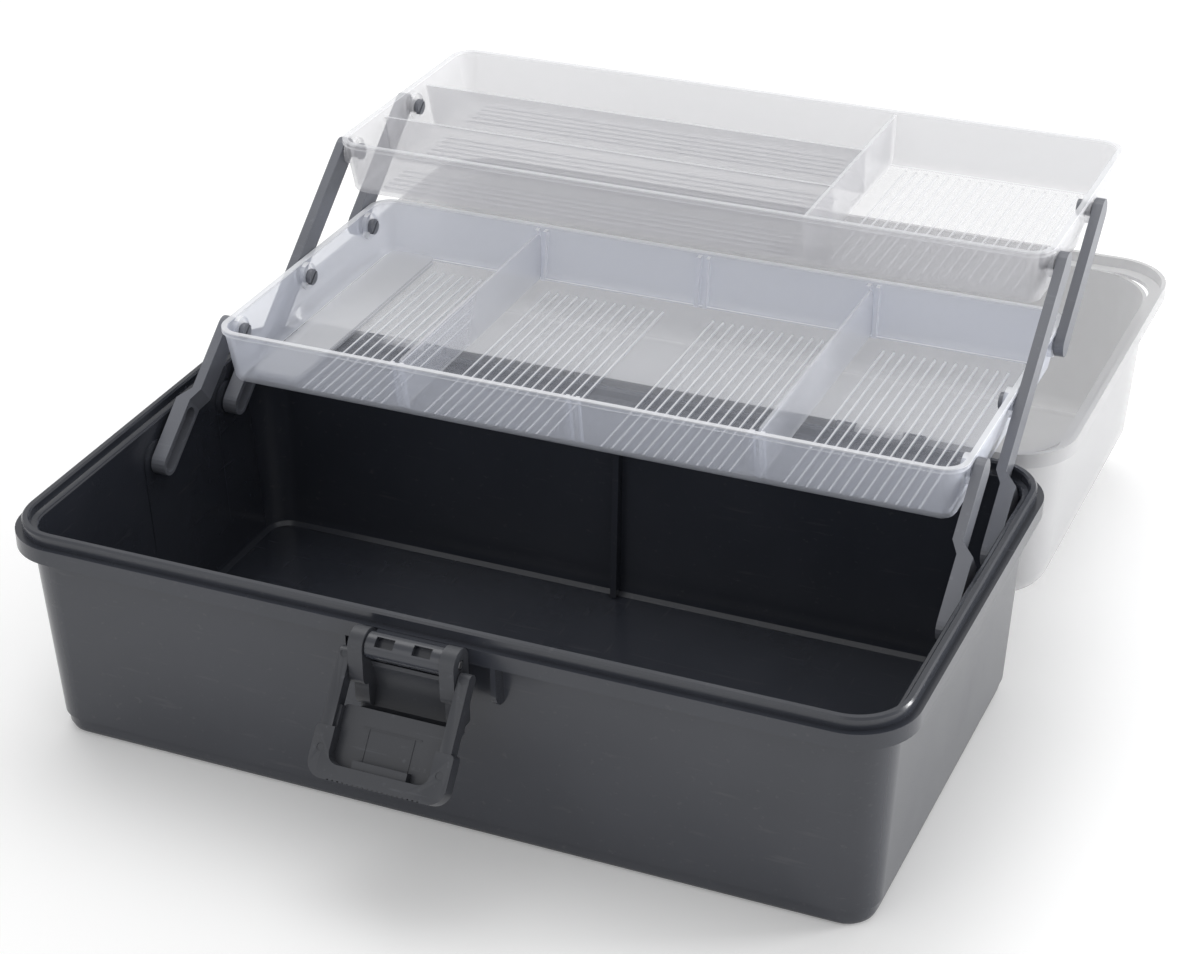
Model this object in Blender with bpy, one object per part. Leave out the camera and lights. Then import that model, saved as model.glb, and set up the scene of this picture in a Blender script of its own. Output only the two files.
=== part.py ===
"""Cantilever toolbox: a deep bin, a hinged lid and two trays on parallel arms.

The box is drawn open, with its lid folded right back and both trays raised.
Frame: metres, +Z up, front towards -Y, origin in the middle of the underside.
"""
import math

import bmesh
import bpy
from mathutils import Matrix, Vector

MM = 0.001

# ---- driving dimensions of the bin ----
RIM_X = 400 * MM             # width over the flange
RIM_Y = 222 * MM             # depth over the flange
RIM_RADIUS = 28 * MM         # flange corner, in plan
LEDGE_Z = 101 * MM           # top of the outer ledge, where the lid's band comes down
SKIRT_HEIGHT = 7.1 * MM      # visible face of the flange
SKIRT_WALL = 2.4 * MM
RIDGE_HEIGHT = 5.2 * MM      # sealing ridge above the ledge
RIDGE_WIDTH = 3.4 * MM
LEDGE_WIDTH = 3.1 * MM       # from the flange face in to the ridge
SHELF_DROP = 4.8 * MM        # inner shelf below the top of the ridge
SHELF_WIDTH = 3.6 * MM
BIN_WALL = 3.4 * MM
WALL_DRAFT = 5.2 * MM        # how much each wall leans out from foot to flange
INNER_RADIUS = 15 * MM       # inside corners, in plan
FOOT_HEIGHT = 8.4 * MM
FOOT_STEP = 1.5 * MM
FLOOR_THICK = 3.0 * MM
FLOOR_PANEL_RISE = 1.4 * MM
FLOOR_CHANNEL = 19 * MM      # width of the lower strip round the raised floor panel

# ---- swing arms ----
ARM_REACH = 70.5 * MM        # pivot to pivot
ARM_ANGLE = math.radians(38)  # above the horizontal, when open
PAD_RADIUS = 9.5 * MM        # pads on the bin wall behind the arms
PAD_LENGTH = 8 * MM
PIVOT_PITCH = 64 * MM        # spacing of the arms, front to back
BASE_PIVOT_Y = 1 * MM
BASE_PIVOT_Z = 84.2 * MM
ARM_WIDTH = 11.4 * MM
ARM_THIN = 4.5 * MM
ARM_THICK = 7.0 * MM
ARM_CRANK = 3.4 * MM         # sideways jog between the two halves of an arm
CRANK_START = 30 * MM
CRANK_LENGTH = 6 * MM
ARM_RAIL = 1.7 * MM          # edge left round the hollow of an arm
ARM_CHANNEL = 4.2 * MM
STUD_RADIUS = 3.0 * MM
STUD_HEAD_RADIUS = 3.9 * MM
STUD_HEAD = 2.0 * MM
STUD_SLOT = 1.3 * MM
SHOULDER_RADIUS = 5.0 * MM
BASE_STUD = 2.0 * MM         # how far the lower stud enters the bin wall
GAP = 0.35 * MM              # between faces that slide on each other
HOLE_GAP = 0.45 * MM         # round a stud or pin

# ---- trays ----
TRAY_WALL = 1.6 * MM
TRAY_FLOOR = 1.6 * MM
TRAY_HEIGHT = 27.6 * MM
TRAY_DRAFT = 3.4 * MM
TRAY_RIM_HEIGHT = 2.2 * MM
TRAY_RIM_WIDTH = 1.2 * MM
TRAY_RADIUS = 10 * MM
TRAY_TO_ARM = 0.4 * MM       # rim of a tray to the inner face of the arms
LOWER_TRAY_Y = 166 * MM
LOWER_FRONT = 18 * MM        # front rim to the first pivot
LOWER_PIVOT_DROP = 7.3 * MM  # pivots below the rim
UPPER_TRAY_Y = 140.7 * MM
UPPER_FRONT = 14.7 * MM
UPPER_PIVOT_DROP = 9.4 * MM
BOSS_RADIUS = 6.6 * MM
BOSS_INNER = 5.7 * MM        # arm face to the inner face of a tray boss
DIVIDER_THICK = 1.5 * MM
DIVIDER_GAP = 0.35 * MM
SLOT_RIB = 1.8 * MM
SLOT_RIB_DEPTH = 3.0 * MM
SLOT_PITCH = 85.5 * MM
UPPER_CROSS_X = 62 * MM      # cross wall of the upper tray
LONG_WALL = 1.5 * MM

# ---- lid ----
HINGE_OUT = 2.5 * MM          # lid hinge axis behind the flange
HINGE_Z = 103 * MM
LID_HEIGHT = 85.6 * MM       # from the ledge to the top of the closed lid
LID_WALL = 1.9 * MM
LID_BAND = 7.0 * MM
LID_SEAT_GAP = 0.4 * MM
LID_DRAFT = 5.0 * MM
LID_TOP_FILLET = 11 * MM
LID_RADIUS = 35 * MM
KNUCKLE_RADIUS = 3.8 * MM
HINGE_PIN_RADIUS = 1.7 * MM
HINGE_X = 118 * MM
LID_KNUCKLE = 22 * MM
BASE_KNUCKLE = 9 * MM

# ---- carry handle ----
HANDLE_POCKET_X = 136 * MM
HANDLE_POCKET_Y = 30 * MM
HANDLE_POCKET_DEPTH = 11.5 * MM
HANDLE_WALL = 2.0 * MM
HANDLE_GAP = 1.0 * MM
HANDLE_BAR = 9 * MM
HANDLE_STUD_RADIUS = 2.4 * MM
HANDLE_STUD = 1.4 * MM

# ---- latch ----
LATCH_OUT = 7.2 * MM         # lever axis in front of the flange
LATCH_Z = 97.6 * MM
BARREL_RADIUS = 5.6 * MM
BARREL_X = 33 * MM
LATCH_PIN_RADIUS = 1.7 * MM
EAR_THICK = 6.4 * MM
EAR_RADIUS = 6.8 * MM
WEB_THICK = 2.0 * MM
WEB_RADIUS = 18.5 * MM
WEB_LENGTH = 33.4 * MM       # lever axis to the lip at the foot of the lever
BAIL_PIVOT_DROP = 6.0 * MM   # bail axis below the lever axis
BAIL_PIVOT_OUT = 1.6 * MM    # bail axis in front of the lever axis
BAIL_ARM = 5.0 * MM
BAIL_DEPTH = 6.4 * MM
BAIL_LENGTH = 50 * MM
BAIL_GRIP = 21 * MM          # length of the wider lower frame
BAIL_SPREAD = 1.6 * MM       # how much wider the frame is across its foot
BAIL_ANGLE = math.radians(38)  # outwards from hanging straight down
BAIL_STUD_RADIUS = 1.9 * MM
BAIL_STUD = 3.2 * MM
BAIL_RAIL = 6.5 * MM         # height of the rail along the foot of the bail
HOOK_HEIGHT = 3.4 * MM       # tab on that rail that hooks over the lid's catch
HOOK_X = 24 * MM
PLATE_THICK = 1.8 * MM
PLATE_LENGTH = 28 * MM
CATCH_GAP = 0.4 * MM         # between the hook and the catch when latched
CATCH_HEIGHT = 4.0 * MM
CATCH_BITE = 2.0 * MM        # how far the catch reaches behind the hook

# ---- smoothness ----
CORNER_STEPS = 6
ROUND = 20

BIN_PLASTIC = ("bin_plastic", (0.055, 0.057, 0.064), 0.32)
ARM_PLASTIC = ("arm_plastic", (0.075, 0.078, 0.090), 0.42)
LATCH_PLASTIC = ("latch_plastic", (0.080, 0.084, 0.098), 0.40)
TRAY_PLASTIC = ("tray_plastic", (0.74, 0.76, 0.80), 0.22)
LID_PLASTIC = ("lid_plastic", (0.80, 0.81, 0.82), 0.30)
PIN_STEEL = ("pin_steel", (0.55, 0.56, 0.58), 0.30)


# ---------------------------------------------------------------- tools
def clear_scene():
    for obj in list(bpy.data.objects):
        bpy.data.objects.remove(obj, do_unlink=True)


def material(finish):
    name, colour, roughness = finish
    found = bpy.data.materials.get(name)
    if found:
        return found
    made = bpy.data.materials.new(name)
    made.use_nodes = True
    shader = made.node_tree.nodes["Principled BSDF"]
    shader.inputs["Base Color"].default_value = (*colour, 1.0)
    shader.inputs["Roughness"].default_value = roughness
    shader.inputs["Metallic"].default_value = 1.0 if name == "pin_steel" else 0.0
    return made


def new_object(name, bm, finish=BIN_PLASTIC, origin=(0, 0, 0)):
    """Turn a bmesh in world coordinates into an object whose origin is at a given point."""
    bmesh.ops.remove_doubles(bm, verts=bm.verts, dist=1e-7)
    bmesh.ops.recalc_face_normals(bm, faces=bm.faces)
    bmesh.ops.translate(bm, verts=bm.verts, vec=-Vector(origin))
    mesh = bpy.data.meshes.new(name)
    bm.to_mesh(mesh)
    bm.free()
    obj = bpy.data.objects.new(name, mesh)
    obj.location = origin
    mesh.materials.append(material(finish))
    bpy.context.collection.objects.link(obj)
    return obj


def combine(target, tools, operation):
    """Add tool solids to the target or cut them from it, and drop the tools."""
    for tool in tools:
        step = target.modifiers.new("combine", "BOOLEAN")
        step.operation = operation
        step.solver = "EXACT"
        step.object = tool
        bpy.context.view_layer.objects.active = target
        bpy.ops.object.modifier_apply(modifier=step.name)
        bpy.data.objects.remove(tool, do_unlink=True)


def corner_ring(half_x, half_y, radius, z, centre=(0, 0)):
    """Points of a rounded rectangle, anticlockwise from above."""
    radius = min(radius, half_x * 0.98, half_y * 0.98)
    points = []
    for corner, (sx, sy) in enumerate(((1, 1), (-1, 1), (-1, -1), (1, -1))):
        for step in range(CORNER_STEPS + 1):
            turn = math.pi / 2 * (corner + step / CORNER_STEPS)
            x = centre[0] + sx * (half_x - radius) + radius * math.cos(turn)
            y = centre[1] + sy * (half_y - radius) + radius * math.sin(turn)
            points.append(Vector((x, y, z)))
    return points


def loft(rings):
    """Close a stack of matching rings into one solid, capped at both ends."""
    bm = bmesh.new()
    loops = [[bm.verts.new(point) for point in ring] for ring in rings]
    count = len(rings[0])
    for lower, upper in zip(loops, loops[1:]):
        for i in range(count):
            j = (i + 1) % count
            bm.faces.new((lower[i], lower[j], upper[j], upper[i]))
    bm.faces.new(list(reversed(loops[0])))
    bm.faces.new(loops[-1])
    return bm


def prism(outline, x0, x1):
    """Extrude an outline given as (y, z) points from x0 to x1."""
    bm = bmesh.new()
    first = [bm.verts.new((x0, y, z)) for y, z in outline]
    last = [bm.verts.new((x1, y, z)) for y, z in outline]
    count = len(outline)
    for i in range(count):
        j = (i + 1) % count
        bm.faces.new((first[i], first[j], last[j], last[i]))
    bm.faces.new(list(reversed(first)))
    bm.faces.new(last)
    return bm


def block(low, high, turn=0.0, about=(0, 0)):
    """A box between two corners, optionally turned about a line along X."""
    bm = bmesh.new()
    bmesh.ops.create_cube(bm, size=1.0)
    size = Vector(high) - Vector(low)
    middle = (Vector(high) + Vector(low)) / 2
    bmesh.ops.scale(bm, verts=bm.verts, vec=size)
    bmesh.ops.translate(bm, verts=bm.verts, vec=middle)
    if turn:
        spin_about(bm, turn, about)
    return bm


def spin_about(bm, angle, about):
    """Turn a bmesh about the line along X through (y, z)."""
    centre = Vector((0, about[0], about[1]))
    bmesh.ops.rotate(bm, verts=bm.verts, cent=centre, matrix=Matrix.Rotation(angle, 3, "X"))


def set_on_axis(obj, axis, angle=0.0):
    """Move an object's origin onto the line along X through (y, z) and turn its mesh about it."""
    obj.data.transform(Matrix.Translation((0, -axis[0], -axis[1])))
    if angle:
        obj.data.transform(Matrix.Rotation(angle, 4, "X"))
    obj.location = (0, axis[0], axis[1])


def disc(centre, radius, steps=ROUND):
    """Outline of a circle in the (y, z) plane."""
    turns = [2 * math.pi * (i + 0.5) / steps for i in range(steps)]
    return [(centre[0] + radius * math.cos(t), centre[1] + radius * math.sin(t)) for t in turns]


def rod(centre, radius, x0, x1, steps=ROUND):
    return prism(disc(centre, radius, steps), x0, x1)


def slot_outline(start, end, radius, steps=10):
    """Outline of a bar with two round ends, between two (y, z) points."""
    along = math.atan2(end[1] - start[1], end[0] - start[0])
    points = []
    for centre, first in ((end, along - math.pi / 2), (start, along + math.pi / 2)):
        for i in range(steps + 1):
            turn = first + math.pi * i / steps
            y = centre[0] + radius * math.cos(turn)
            z = centre[1] + radius * math.sin(turn)
            points.append((y, z))
    return points


def tool(bm):
    return new_object("tool", bm)


def pair(make):
    """The same solid on the right and on the left of the box."""
    return [tool(make(1)), tool(make(-1))]


def side_range(side, x0, x1):
    return (side * x0, side * x1) if side > 0 else (side * x1, side * x0)


# ---------------------------------------------------------------- places that pieces share
RIDGE_Z = LEDGE_Z + RIDGE_HEIGHT
SHELF_Z = RIDGE_Z - SHELF_DROP
SKIRT_Z = LEDGE_Z - SKIRT_HEIGHT
INNER_X = RIM_X / 2 - LEDGE_WIDTH - RIDGE_WIDTH - SHELF_WIDTH
INNER_Y = RIM_Y / 2 - LEDGE_WIDTH - RIDGE_WIDTH - SHELF_WIDTH
PAD_X = INNER_X - 1.2 * MM                       # face of the arm pads
ARM_THICK_OUT = PAD_X - GAP * 2                  # outer face of an arm's thick half
ARM_THICK_IN = ARM_THICK_OUT - ARM_THICK
ARM_IN = ARM_THICK_IN - ARM_CRANK                # inner face of an arm's thin half
ARM_OUT = ARM_IN + ARM_THIN
TRAY_X = 2 * (ARM_IN - TRAY_TO_ARM)              # width over a tray's rim

STEP_Y = ARM_REACH * math.cos(ARM_ANGLE)
STEP_Z = ARM_REACH * math.sin(ARM_ANGLE)
FRONT_PIVOT = (BASE_PIVOT_Y, BASE_PIVOT_Z)
LONG_PIVOT = (BASE_PIVOT_Y + PIVOT_PITCH, BASE_PIVOT_Z)
LOWER_PIVOTS = [(BASE_PIVOT_Y + STEP_Y + i * PIVOT_PITCH, BASE_PIVOT_Z + STEP_Z) for i in range(3)]
UPPER_PIVOTS = [(y + STEP_Y, z + STEP_Z) for y, z in LOWER_PIVOTS[1:]]
LOWER_RIM_Z = LOWER_PIVOTS[0][1] + LOWER_PIVOT_DROP
UPPER_RIM_Z = UPPER_PIVOTS[0][1] + UPPER_PIVOT_DROP
LOWER_Y0 = LOWER_PIVOTS[0][0] - LOWER_FRONT
UPPER_Y0 = UPPER_PIVOTS[0][0] - UPPER_FRONT
HINGE_Y = RIM_Y / 2 + HINGE_OUT
LID_TOP_Z = LEDGE_Z + LID_HEIGHT
HANDLE_AXIS = (-HANDLE_POCKET_Y / 2 + HANDLE_GAP + HANDLE_BAR / 2, LID_TOP_Z - HANDLE_BAR / 2 - 0.5 * MM)
LATCH_Y = -RIM_Y / 2 - LATCH_OUT
EAR_IN = BARREL_X / 2 + GAP
EAR_OUT = EAR_IN + EAR_THICK
BAIL_PIVOT = (LATCH_Y - BAIL_PIVOT_OUT, LATCH_Z - BAIL_PIVOT_DROP)
HOOK_OFFSET = BAIL_DEPTH / 2 - 1.5 * MM          # face of the hook from the bail's middle plane
CATCH_TOP = BAIL_PIVOT[1] + BAIL_LENGTH - BAIL_RAIL - HOOK_HEIGHT - CATCH_GAP
CATCH_TIP = BAIL_PIVOT[0] + HOOK_OFFSET - CATCH_BITE


# ---------------------------------------------------------------- bin
def bin_rings():
    x = RIM_X / 2
    y = RIM_Y / 2
    wall_top = SHELF_WIDTH + LEDGE_WIDTH + RIDGE_WIDTH - BIN_WALL
    foot = wall_top + WALL_DRAFT
    ridge_in = LEDGE_WIDTH + RIDGE_WIDTH
    inner = ridge_in + SHELF_WIDTH
    low = inner + WALL_DRAFT - 1.0 * MM
    web_z = LEDGE_Z - SKIRT_WALL
    outside = [
        (foot + 5.4 * MM, 0),
        (foot + 2.8 * MM, 1.2 * MM),
        (foot + FOOT_STEP, 4 * MM),
        (foot + FOOT_STEP, FOOT_HEIGHT),
        (foot, FOOT_HEIGHT + 0.5 * MM),
        (wall_top, web_z),
        (SKIRT_WALL, web_z),
        (SKIRT_WALL, SKIRT_Z),
        (0, SKIRT_Z),
        (0, LEDGE_Z - 0.6 * MM),
        (0.6 * MM, LEDGE_Z),
        (LEDGE_WIDTH, LEDGE_Z),
        (LEDGE_WIDTH + 0.1 * MM, RIDGE_Z - 1.2 * MM),
        (LEDGE_WIDTH + 0.9 * MM, RIDGE_Z),
        (ridge_in - 0.9 * MM, RIDGE_Z),
        (ridge_in, RIDGE_Z - 1.0 * MM),
    ]
    inside = [
        (ridge_in + 0.2 * MM, SHELF_Z + 0.5 * MM, 3 * MM),
        (inner - 0.8 * MM, SHELF_Z, 0.8 * MM),
        (inner, SHELF_Z - 1.0 * MM, 0),
        (low, FLOOR_THICK + 5 * MM, 0),
        (low + 0.9 * MM, FLOOR_THICK + 1.8 * MM, -0.9 * MM),
        (low + 2.8 * MM, FLOOR_THICK, -2.8 * MM),
        (low + FLOOR_CHANNEL - 1.4 * MM, FLOOR_THICK, -8 * MM),
        (low + FLOOR_CHANNEL, FLOOR_THICK + FLOOR_PANEL_RISE, -8 * MM),
    ]
    rings = [corner_ring(x - inset, y - inset, RIM_RADIUS - inset, z) for inset, z in outside]
    rings += [corner_ring(x - inset, y - inset, INNER_RADIUS + more, z) for inset, z, more in inside]
    return rings


def arm_pads():
    """A round pad behind each lower arm end, and a strip down the leaning wall below it."""
    made = []
    slope = (WALL_DRAFT - 1 * MM) / (SHELF_Z - FLOOR_THICK)
    for pivot in (FRONT_PIVOT, LONG_PIVOT):
        pad_foot = (pivot[0], pivot[1] - PAD_LENGTH)
        strip_foot = (pivot[0], FLOOR_THICK + PAD_RADIUS + 2 * MM)
        for side in (1, -1):
            pad_x = side_range(side, PAD_X, INNER_X + 1 * MM)
            strip_x = side_range(side, PAD_X + 0.2 * MM, INNER_X + 1 * MM)
            made.append(tool(prism(slot_outline(pad_foot, pivot, PAD_RADIUS), *pad_x)))
            strip = prism(slot_outline(strip_foot, pad_foot, PAD_RADIUS - 0.3 * MM), *strip_x)
            for vert in strip.verts:
                vert.co.x -= side * slope * (pad_foot[1] - vert.co.z)
            made.append(tool(strip))
    return made


def base_stud_holes():
    made = []
    for pivot in (FRONT_PIVOT, LONG_PIVOT):
        for side in (1, -1):
            x0, x1 = side_range(side, PAD_X - 2 * MM, ARM_THICK_OUT + BASE_STUD + 2 * GAP)
            made.append(tool(rod(pivot, STUD_RADIUS + HOLE_GAP, x0, x1)))
    return made


def latch_mount():
    """Barrel on the front flange that carries the latch, with its neck and two cheeks."""
    half = BARREL_X / 2
    neck = block((-half, LATCH_Y, LEDGE_Z - 5.6 * MM), (half, -RIM_Y / 2 + 1 * MM, LEDGE_Z - 0.2 * MM))
    cheek_x = EAR_OUT + BAIL_ARM + 2.6 * MM
    front = -RIM_Y / 2
    wall = -(RIM_Y / 2 - SHELF_WIDTH - LEDGE_WIDTH - RIDGE_WIDTH + BIN_WALL / 2)
    outline = [(front + 0.3 * MM, SKIRT_Z + 1 * MM), (front + 0.3 * MM, SKIRT_Z - 12 * MM)]
    outline += [(front + 3.4 * MM, SKIRT_Z - 19 * MM), (wall, SKIRT_Z - 22 * MM), (wall, SKIRT_Z + 1 * MM)]
    made = [tool(rod((LATCH_Y, LATCH_Z), BARREL_RADIUS, -half, half)), tool(neck)]
    for side in (1, -1):
        x0, x1 = side_range(side, cheek_x, cheek_x + 2.2 * MM)
        made.append(tool(prism(outline, x0, x1)))
    return made


def barrel_cuts():
    """The pin bore and the two square core holes in the front of the barrel."""
    half = BARREL_X / 2
    made = [tool(rod((LATCH_Y, LATCH_Z), LATCH_PIN_RADIUS + HOLE_GAP, -half - 1 * MM, half + 1 * MM))]
    for side in (1, -1):
        x0, x1 = side_range(side, 4.2 * MM, 12.2 * MM)
        low = (x0, LATCH_Y - 2.2 * MM, LATCH_Z + 2.7 * MM)
        high = (x1, LATCH_Y + 2.2 * MM, LATCH_Z + BARREL_RADIUS + 2 * MM)
        made.append(tool(block(low, high, math.radians(38), (LATCH_Y, LATCH_Z))))
    return made


def hinge_lugs():
    """Two pairs of knuckles on the rear flange."""
    made = []
    y = RIM_Y / 2 - 1.5 * MM
    for side in (1, -1):
        for inward in (-1, 1):
            near = LID_KNUCKLE / 2 + GAP
            x0, x1 = sorted((side * HINGE_X + inward * near, side * HINGE_X + inward * (near + BASE_KNUCKLE)))
            arm = [(y, SKIRT_Z + 0.5 * MM), (RIM_Y / 2 + 0.6 * MM, SKIRT_Z + 0.5 * MM)]
            arm.append((HINGE_Y + 1 * MM, HINGE_Z - KNUCKLE_RADIUS + 0.2 * MM))
            arm += [(HINGE_Y, HINGE_Z), (y, LEDGE_Z - 0.3 * MM)]
            made.append(tool(rod((HINGE_Y, HINGE_Z), KNUCKLE_RADIUS, x0, x1)))
            made.append(tool(prism(arm, x0, x1)))
    return made


def knuckle_reliefs(on_lid):
    """Round clearances for the other half's knuckles."""
    made = []
    for side in (1, -1):
        middle = side * HINGE_X
        if on_lid:
            near = LID_KNUCKLE / 2
            far = near + BASE_KNUCKLE + 2 * GAP
            spans = [(middle - far, middle - near), (middle + near, middle + far)]
        else:
            reach = LID_KNUCKLE / 2 + GAP
            spans = [(middle - reach, middle + reach)]
        for x0, x1 in spans:
            made.append(tool(rod((HINGE_Y, HINGE_Z), KNUCKLE_RADIUS + GAP, x0, x1)))
    return made


def hinge_bores():
    reach = LID_KNUCKLE / 2 + BASE_KNUCKLE
    made = []
    for side in (1, -1):
        x0 = side * HINGE_X - reach - 1 * MM
        x1 = side * HINGE_X + reach + 1 * MM
        made.append(tool(rod((HINGE_Y, HINGE_Z), HINGE_PIN_RADIUS + HOLE_GAP, x0, x1)))
    return made


def wall_ribs():
    """Stiffening ribs: one down the rear wall and two short ones behind the latch."""
    rear = INNER_Y + 1.2 * MM
    deep = rear - 10 * MM
    floor = FLOOR_THICK + 0.6 * MM
    rear_rib = [(rear, floor), (rear, SHELF_Z - 9 * MM), (deep + 3 * MM, SHELF_Z - 11 * MM), (deep, floor)]
    front = -INNER_Y - 1.2 * MM
    long_rib = [(front, 24 * MM), (front + 12 * MM, SHELF_Z - 7 * MM), (front + 12 * MM, SHELF_Z - 4 * MM)]
    long_rib += [(front, SHELF_Z - 4 * MM)]
    short_rib = [(front, 50 * MM), (front + 5 * MM, SHELF_Z - 7 * MM), (front + 5 * MM, SHELF_Z - 4 * MM)]
    short_rib += [(front, SHELF_Z - 4 * MM)]
    return [tool(prism(rear_rib, -1.3 * MM, 1.3 * MM)),
            tool(prism(long_rib, -2.2 * MM, 0)),
            tool(prism(short_rib, 5 * MM, 7.2 * MM))]


def flange_gussets():
    """Small webs under the flange, near the front corners."""
    made = []
    y0 = -RIM_Y / 2 + SKIRT_WALL / 2
    y1 = -(INNER_Y + BIN_WALL / 2)
    outline = [(y0, SKIRT_Z - 1.2 * MM), (y0 + 2.5 * MM, SKIRT_Z - 7 * MM), (y1, SKIRT_Z - 9 * MM)]
    outline += [(y1, LEDGE_Z - 1.2 * MM), (y0, LEDGE_Z - 1.2 * MM)]
    for side in (1, -1):
        x0, x1 = side_range(side, 158 * MM, 168 * MM)
        made.append(tool(prism(outline, x0, x1)))
    return made


def make_base_bin():
    bin_body = new_object("base_bin", loft(bin_rings()), BIN_PLASTIC)
    added = arm_pads() + latch_mount() + hinge_lugs() + wall_ribs() + flange_gussets()
    combine(bin_body, knuckle_reliefs(False), "DIFFERENCE")
    combine(bin_body, added, "UNION")
    combine(bin_body, base_stud_holes() + barrel_cuts() + hinge_bores(), "DIFFERENCE")
    return bin_body


# ---------------------------------------------------------------- arms
def plan_prism(outline, side, z0, z1):
    """Extrude an outline given as (y, x) points upwards, on the right or the left side."""
    bm = bmesh.new()
    ends = [[bm.verts.new((side * x, y, z)) for y, x in outline] for z in (z0, z1)]
    count = len(outline)
    for i in range(count):
        j = (i + 1) % count
        bm.faces.new((ends[0][i], ends[0][j], ends[1][j], ends[1][i]))
    bm.faces.new(ends[0])
    bm.faces.new(ends[1])
    return bm


def arm_blank(pivot, reach, side, cranked):
    """An arm lying level, cut to its stepped thickness as seen from above."""
    radius = ARM_WIDTH / 2
    far = (pivot[0] + reach, pivot[1])
    bm = prism(slot_outline(pivot, far, radius), *side_range(side, ARM_IN, ARM_THICK_OUT))
    blank = new_object("arm", bm, ARM_PLASTIC)
    spare = 1 * MM
    start = pivot[0] - radius - spare
    end = far[0] + radius + spare
    low = pivot[1] - radius - spare
    high = pivot[1] + radius + spare
    outer_x = ARM_THICK_OUT + spare
    inner_x = ARM_IN - spare
    if cranked:
        crank = pivot[0] + CRANK_START
        after = crank + CRANK_LENGTH
        outside = [(crank, outer_x), (crank, ARM_THICK_OUT), (after, ARM_OUT), (end, ARM_OUT), (end, outer_x)]
        inside = [(start, inner_x), (start, ARM_THICK_IN), (crank, ARM_THICK_IN), (after, ARM_IN)]
        inside.append((after, inner_x))
        cuts = [outside, inside]
    else:
        cuts = [[(start, ARM_OUT), (end, ARM_OUT), (end, outer_x), (start, outer_x)]]
    combine(blank, [tool(plan_prism(outline, side, low, high)) for outline in cuts], "DIFFERENCE")
    return blank


def arm_channel(pivot, side):
    """The hollow in the inner face of an arm's thick half."""
    radius = ARM_WIDTH / 2 - ARM_RAIL
    end = (pivot[0] + CRANK_START - radius - ARM_RAIL, pivot[1])
    x0, x1 = side_range(side, ARM_IN, ARM_THICK_IN + ARM_CHANNEL)
    return tool(prism(slot_outline(pivot, end, radius), x0, x1))


def tray_stud(pivot, side):
    """Stud through a tray wall: its shoulder, its shaft and its slotted head."""
    head_out = ARM_IN - BOSS_INNER - GAP
    head_in = head_out - STUD_HEAD
    overlap = 1 * MM
    solids = [tool(rod(pivot, SHOULDER_RADIUS, *side_range(side, ARM_IN - TRAY_TO_ARM, ARM_IN + overlap))),
              tool(rod(pivot, STUD_RADIUS, *side_range(side, head_out - overlap, ARM_IN + overlap))),
              tool(rod(pivot, STUD_HEAD_RADIUS, *side_range(side, head_in, head_out)))]
    half = STUD_SLOT / 2
    reach = STUD_HEAD_RADIUS + overlap
    x0, x1 = side_range(side, head_in - overlap, head_out + 1.5 * MM)
    slot = block((x0, pivot[0] - reach, pivot[1] - half), (x1, pivot[0] + reach, pivot[1] + half))
    return solids, tool(slot)


def base_stud(pivot, side):
    """Shoulder and stud that turn in the blind hole of a pad on the bin wall."""
    overlap = 1 * MM
    inner = ARM_THICK_OUT - overlap
    return [tool(rod(pivot, SHOULDER_RADIUS, *side_range(side, inner, PAD_X - GAP))),
            tool(rod(pivot, STUD_RADIUS, *side_range(side, inner, ARM_THICK_OUT + BASE_STUD)))]


def make_arm(name, pivot, reaches, side, on_base):
    """One arm: on_base arms are cranked and hinge on the bin, the others on the lower tray."""
    arm = arm_blank(pivot, reaches[-1], side, on_base)
    if on_base:
        combine(arm, [arm_channel(pivot, side)], "DIFFERENCE")
        combine(arm, base_stud(pivot, side), "UNION")
    for reach in reaches:
        solids, slot = tray_stud((pivot[0] + reach, pivot[1]), side)
        combine(arm, solids, "UNION")
        combine(arm, [slot], "DIFFERENCE")
    if not on_base:
        solids, slot = tray_stud(pivot, side)
        combine(arm, solids, "UNION")
        combine(arm, [slot], "DIFFERENCE")
    set_on_axis(arm, pivot, ARM_ANGLE)
    arm.name = name
    return arm


# ---------------------------------------------------------------- trays
def tray_rings(depth, y0, rim_z):
    x = TRAY_X / 2
    y = depth / 2
    centre = (0, y0 + y)
    bottom = rim_z - TRAY_HEIGHT
    wall = TRAY_RIM_WIDTH
    low = wall + TRAY_DRAFT
    profile = [
        (low + 4.0 * MM, bottom),
        (low + 1.2 * MM, bottom + 1.2 * MM),
        (low, bottom + 4.0 * MM),
        (wall, rim_z - TRAY_RIM_HEIGHT),
        (0, rim_z - TRAY_RIM_HEIGHT + 0.3 * MM),
        (0, rim_z - 0.4 * MM),
        (0.5 * MM, rim_z),
        (wall + TRAY_WALL - 0.3 * MM, rim_z),
        (wall + TRAY_WALL, rim_z - 0.4 * MM),
        (low + TRAY_WALL, bottom + 5.0 * MM),
        (low + TRAY_WALL + 1.2 * MM, bottom + TRAY_FLOOR + 1.2 * MM),
        (low + TRAY_WALL + 4.0 * MM, bottom + TRAY_FLOOR),
    ]
    return [corner_ring(x - i, y - i, max(TRAY_RADIUS - i, 3 * MM), z, centre) for i, z in profile]


def tray_bosses(pivots):
    """Round bosses where the arm studs pass through the side walls, and their holes."""
    bosses = []
    holes = []
    for pivot in pivots:
        for side in (1, -1):
            face = ARM_IN - TRAY_TO_ARM - GAP
            x0, x1 = side_range(side, ARM_IN - BOSS_INNER, face)
            bosses.append(tool(rod(pivot, BOSS_RADIUS, x0, x1)))
            h0, h1 = side_range(side, ARM_IN - BOSS_INNER - 1 * MM, face + 1 * MM)
            holes.append(tool(rod(pivot, STUD_RADIUS + HOLE_GAP, h0, h1)))
    return bosses, holes


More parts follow.
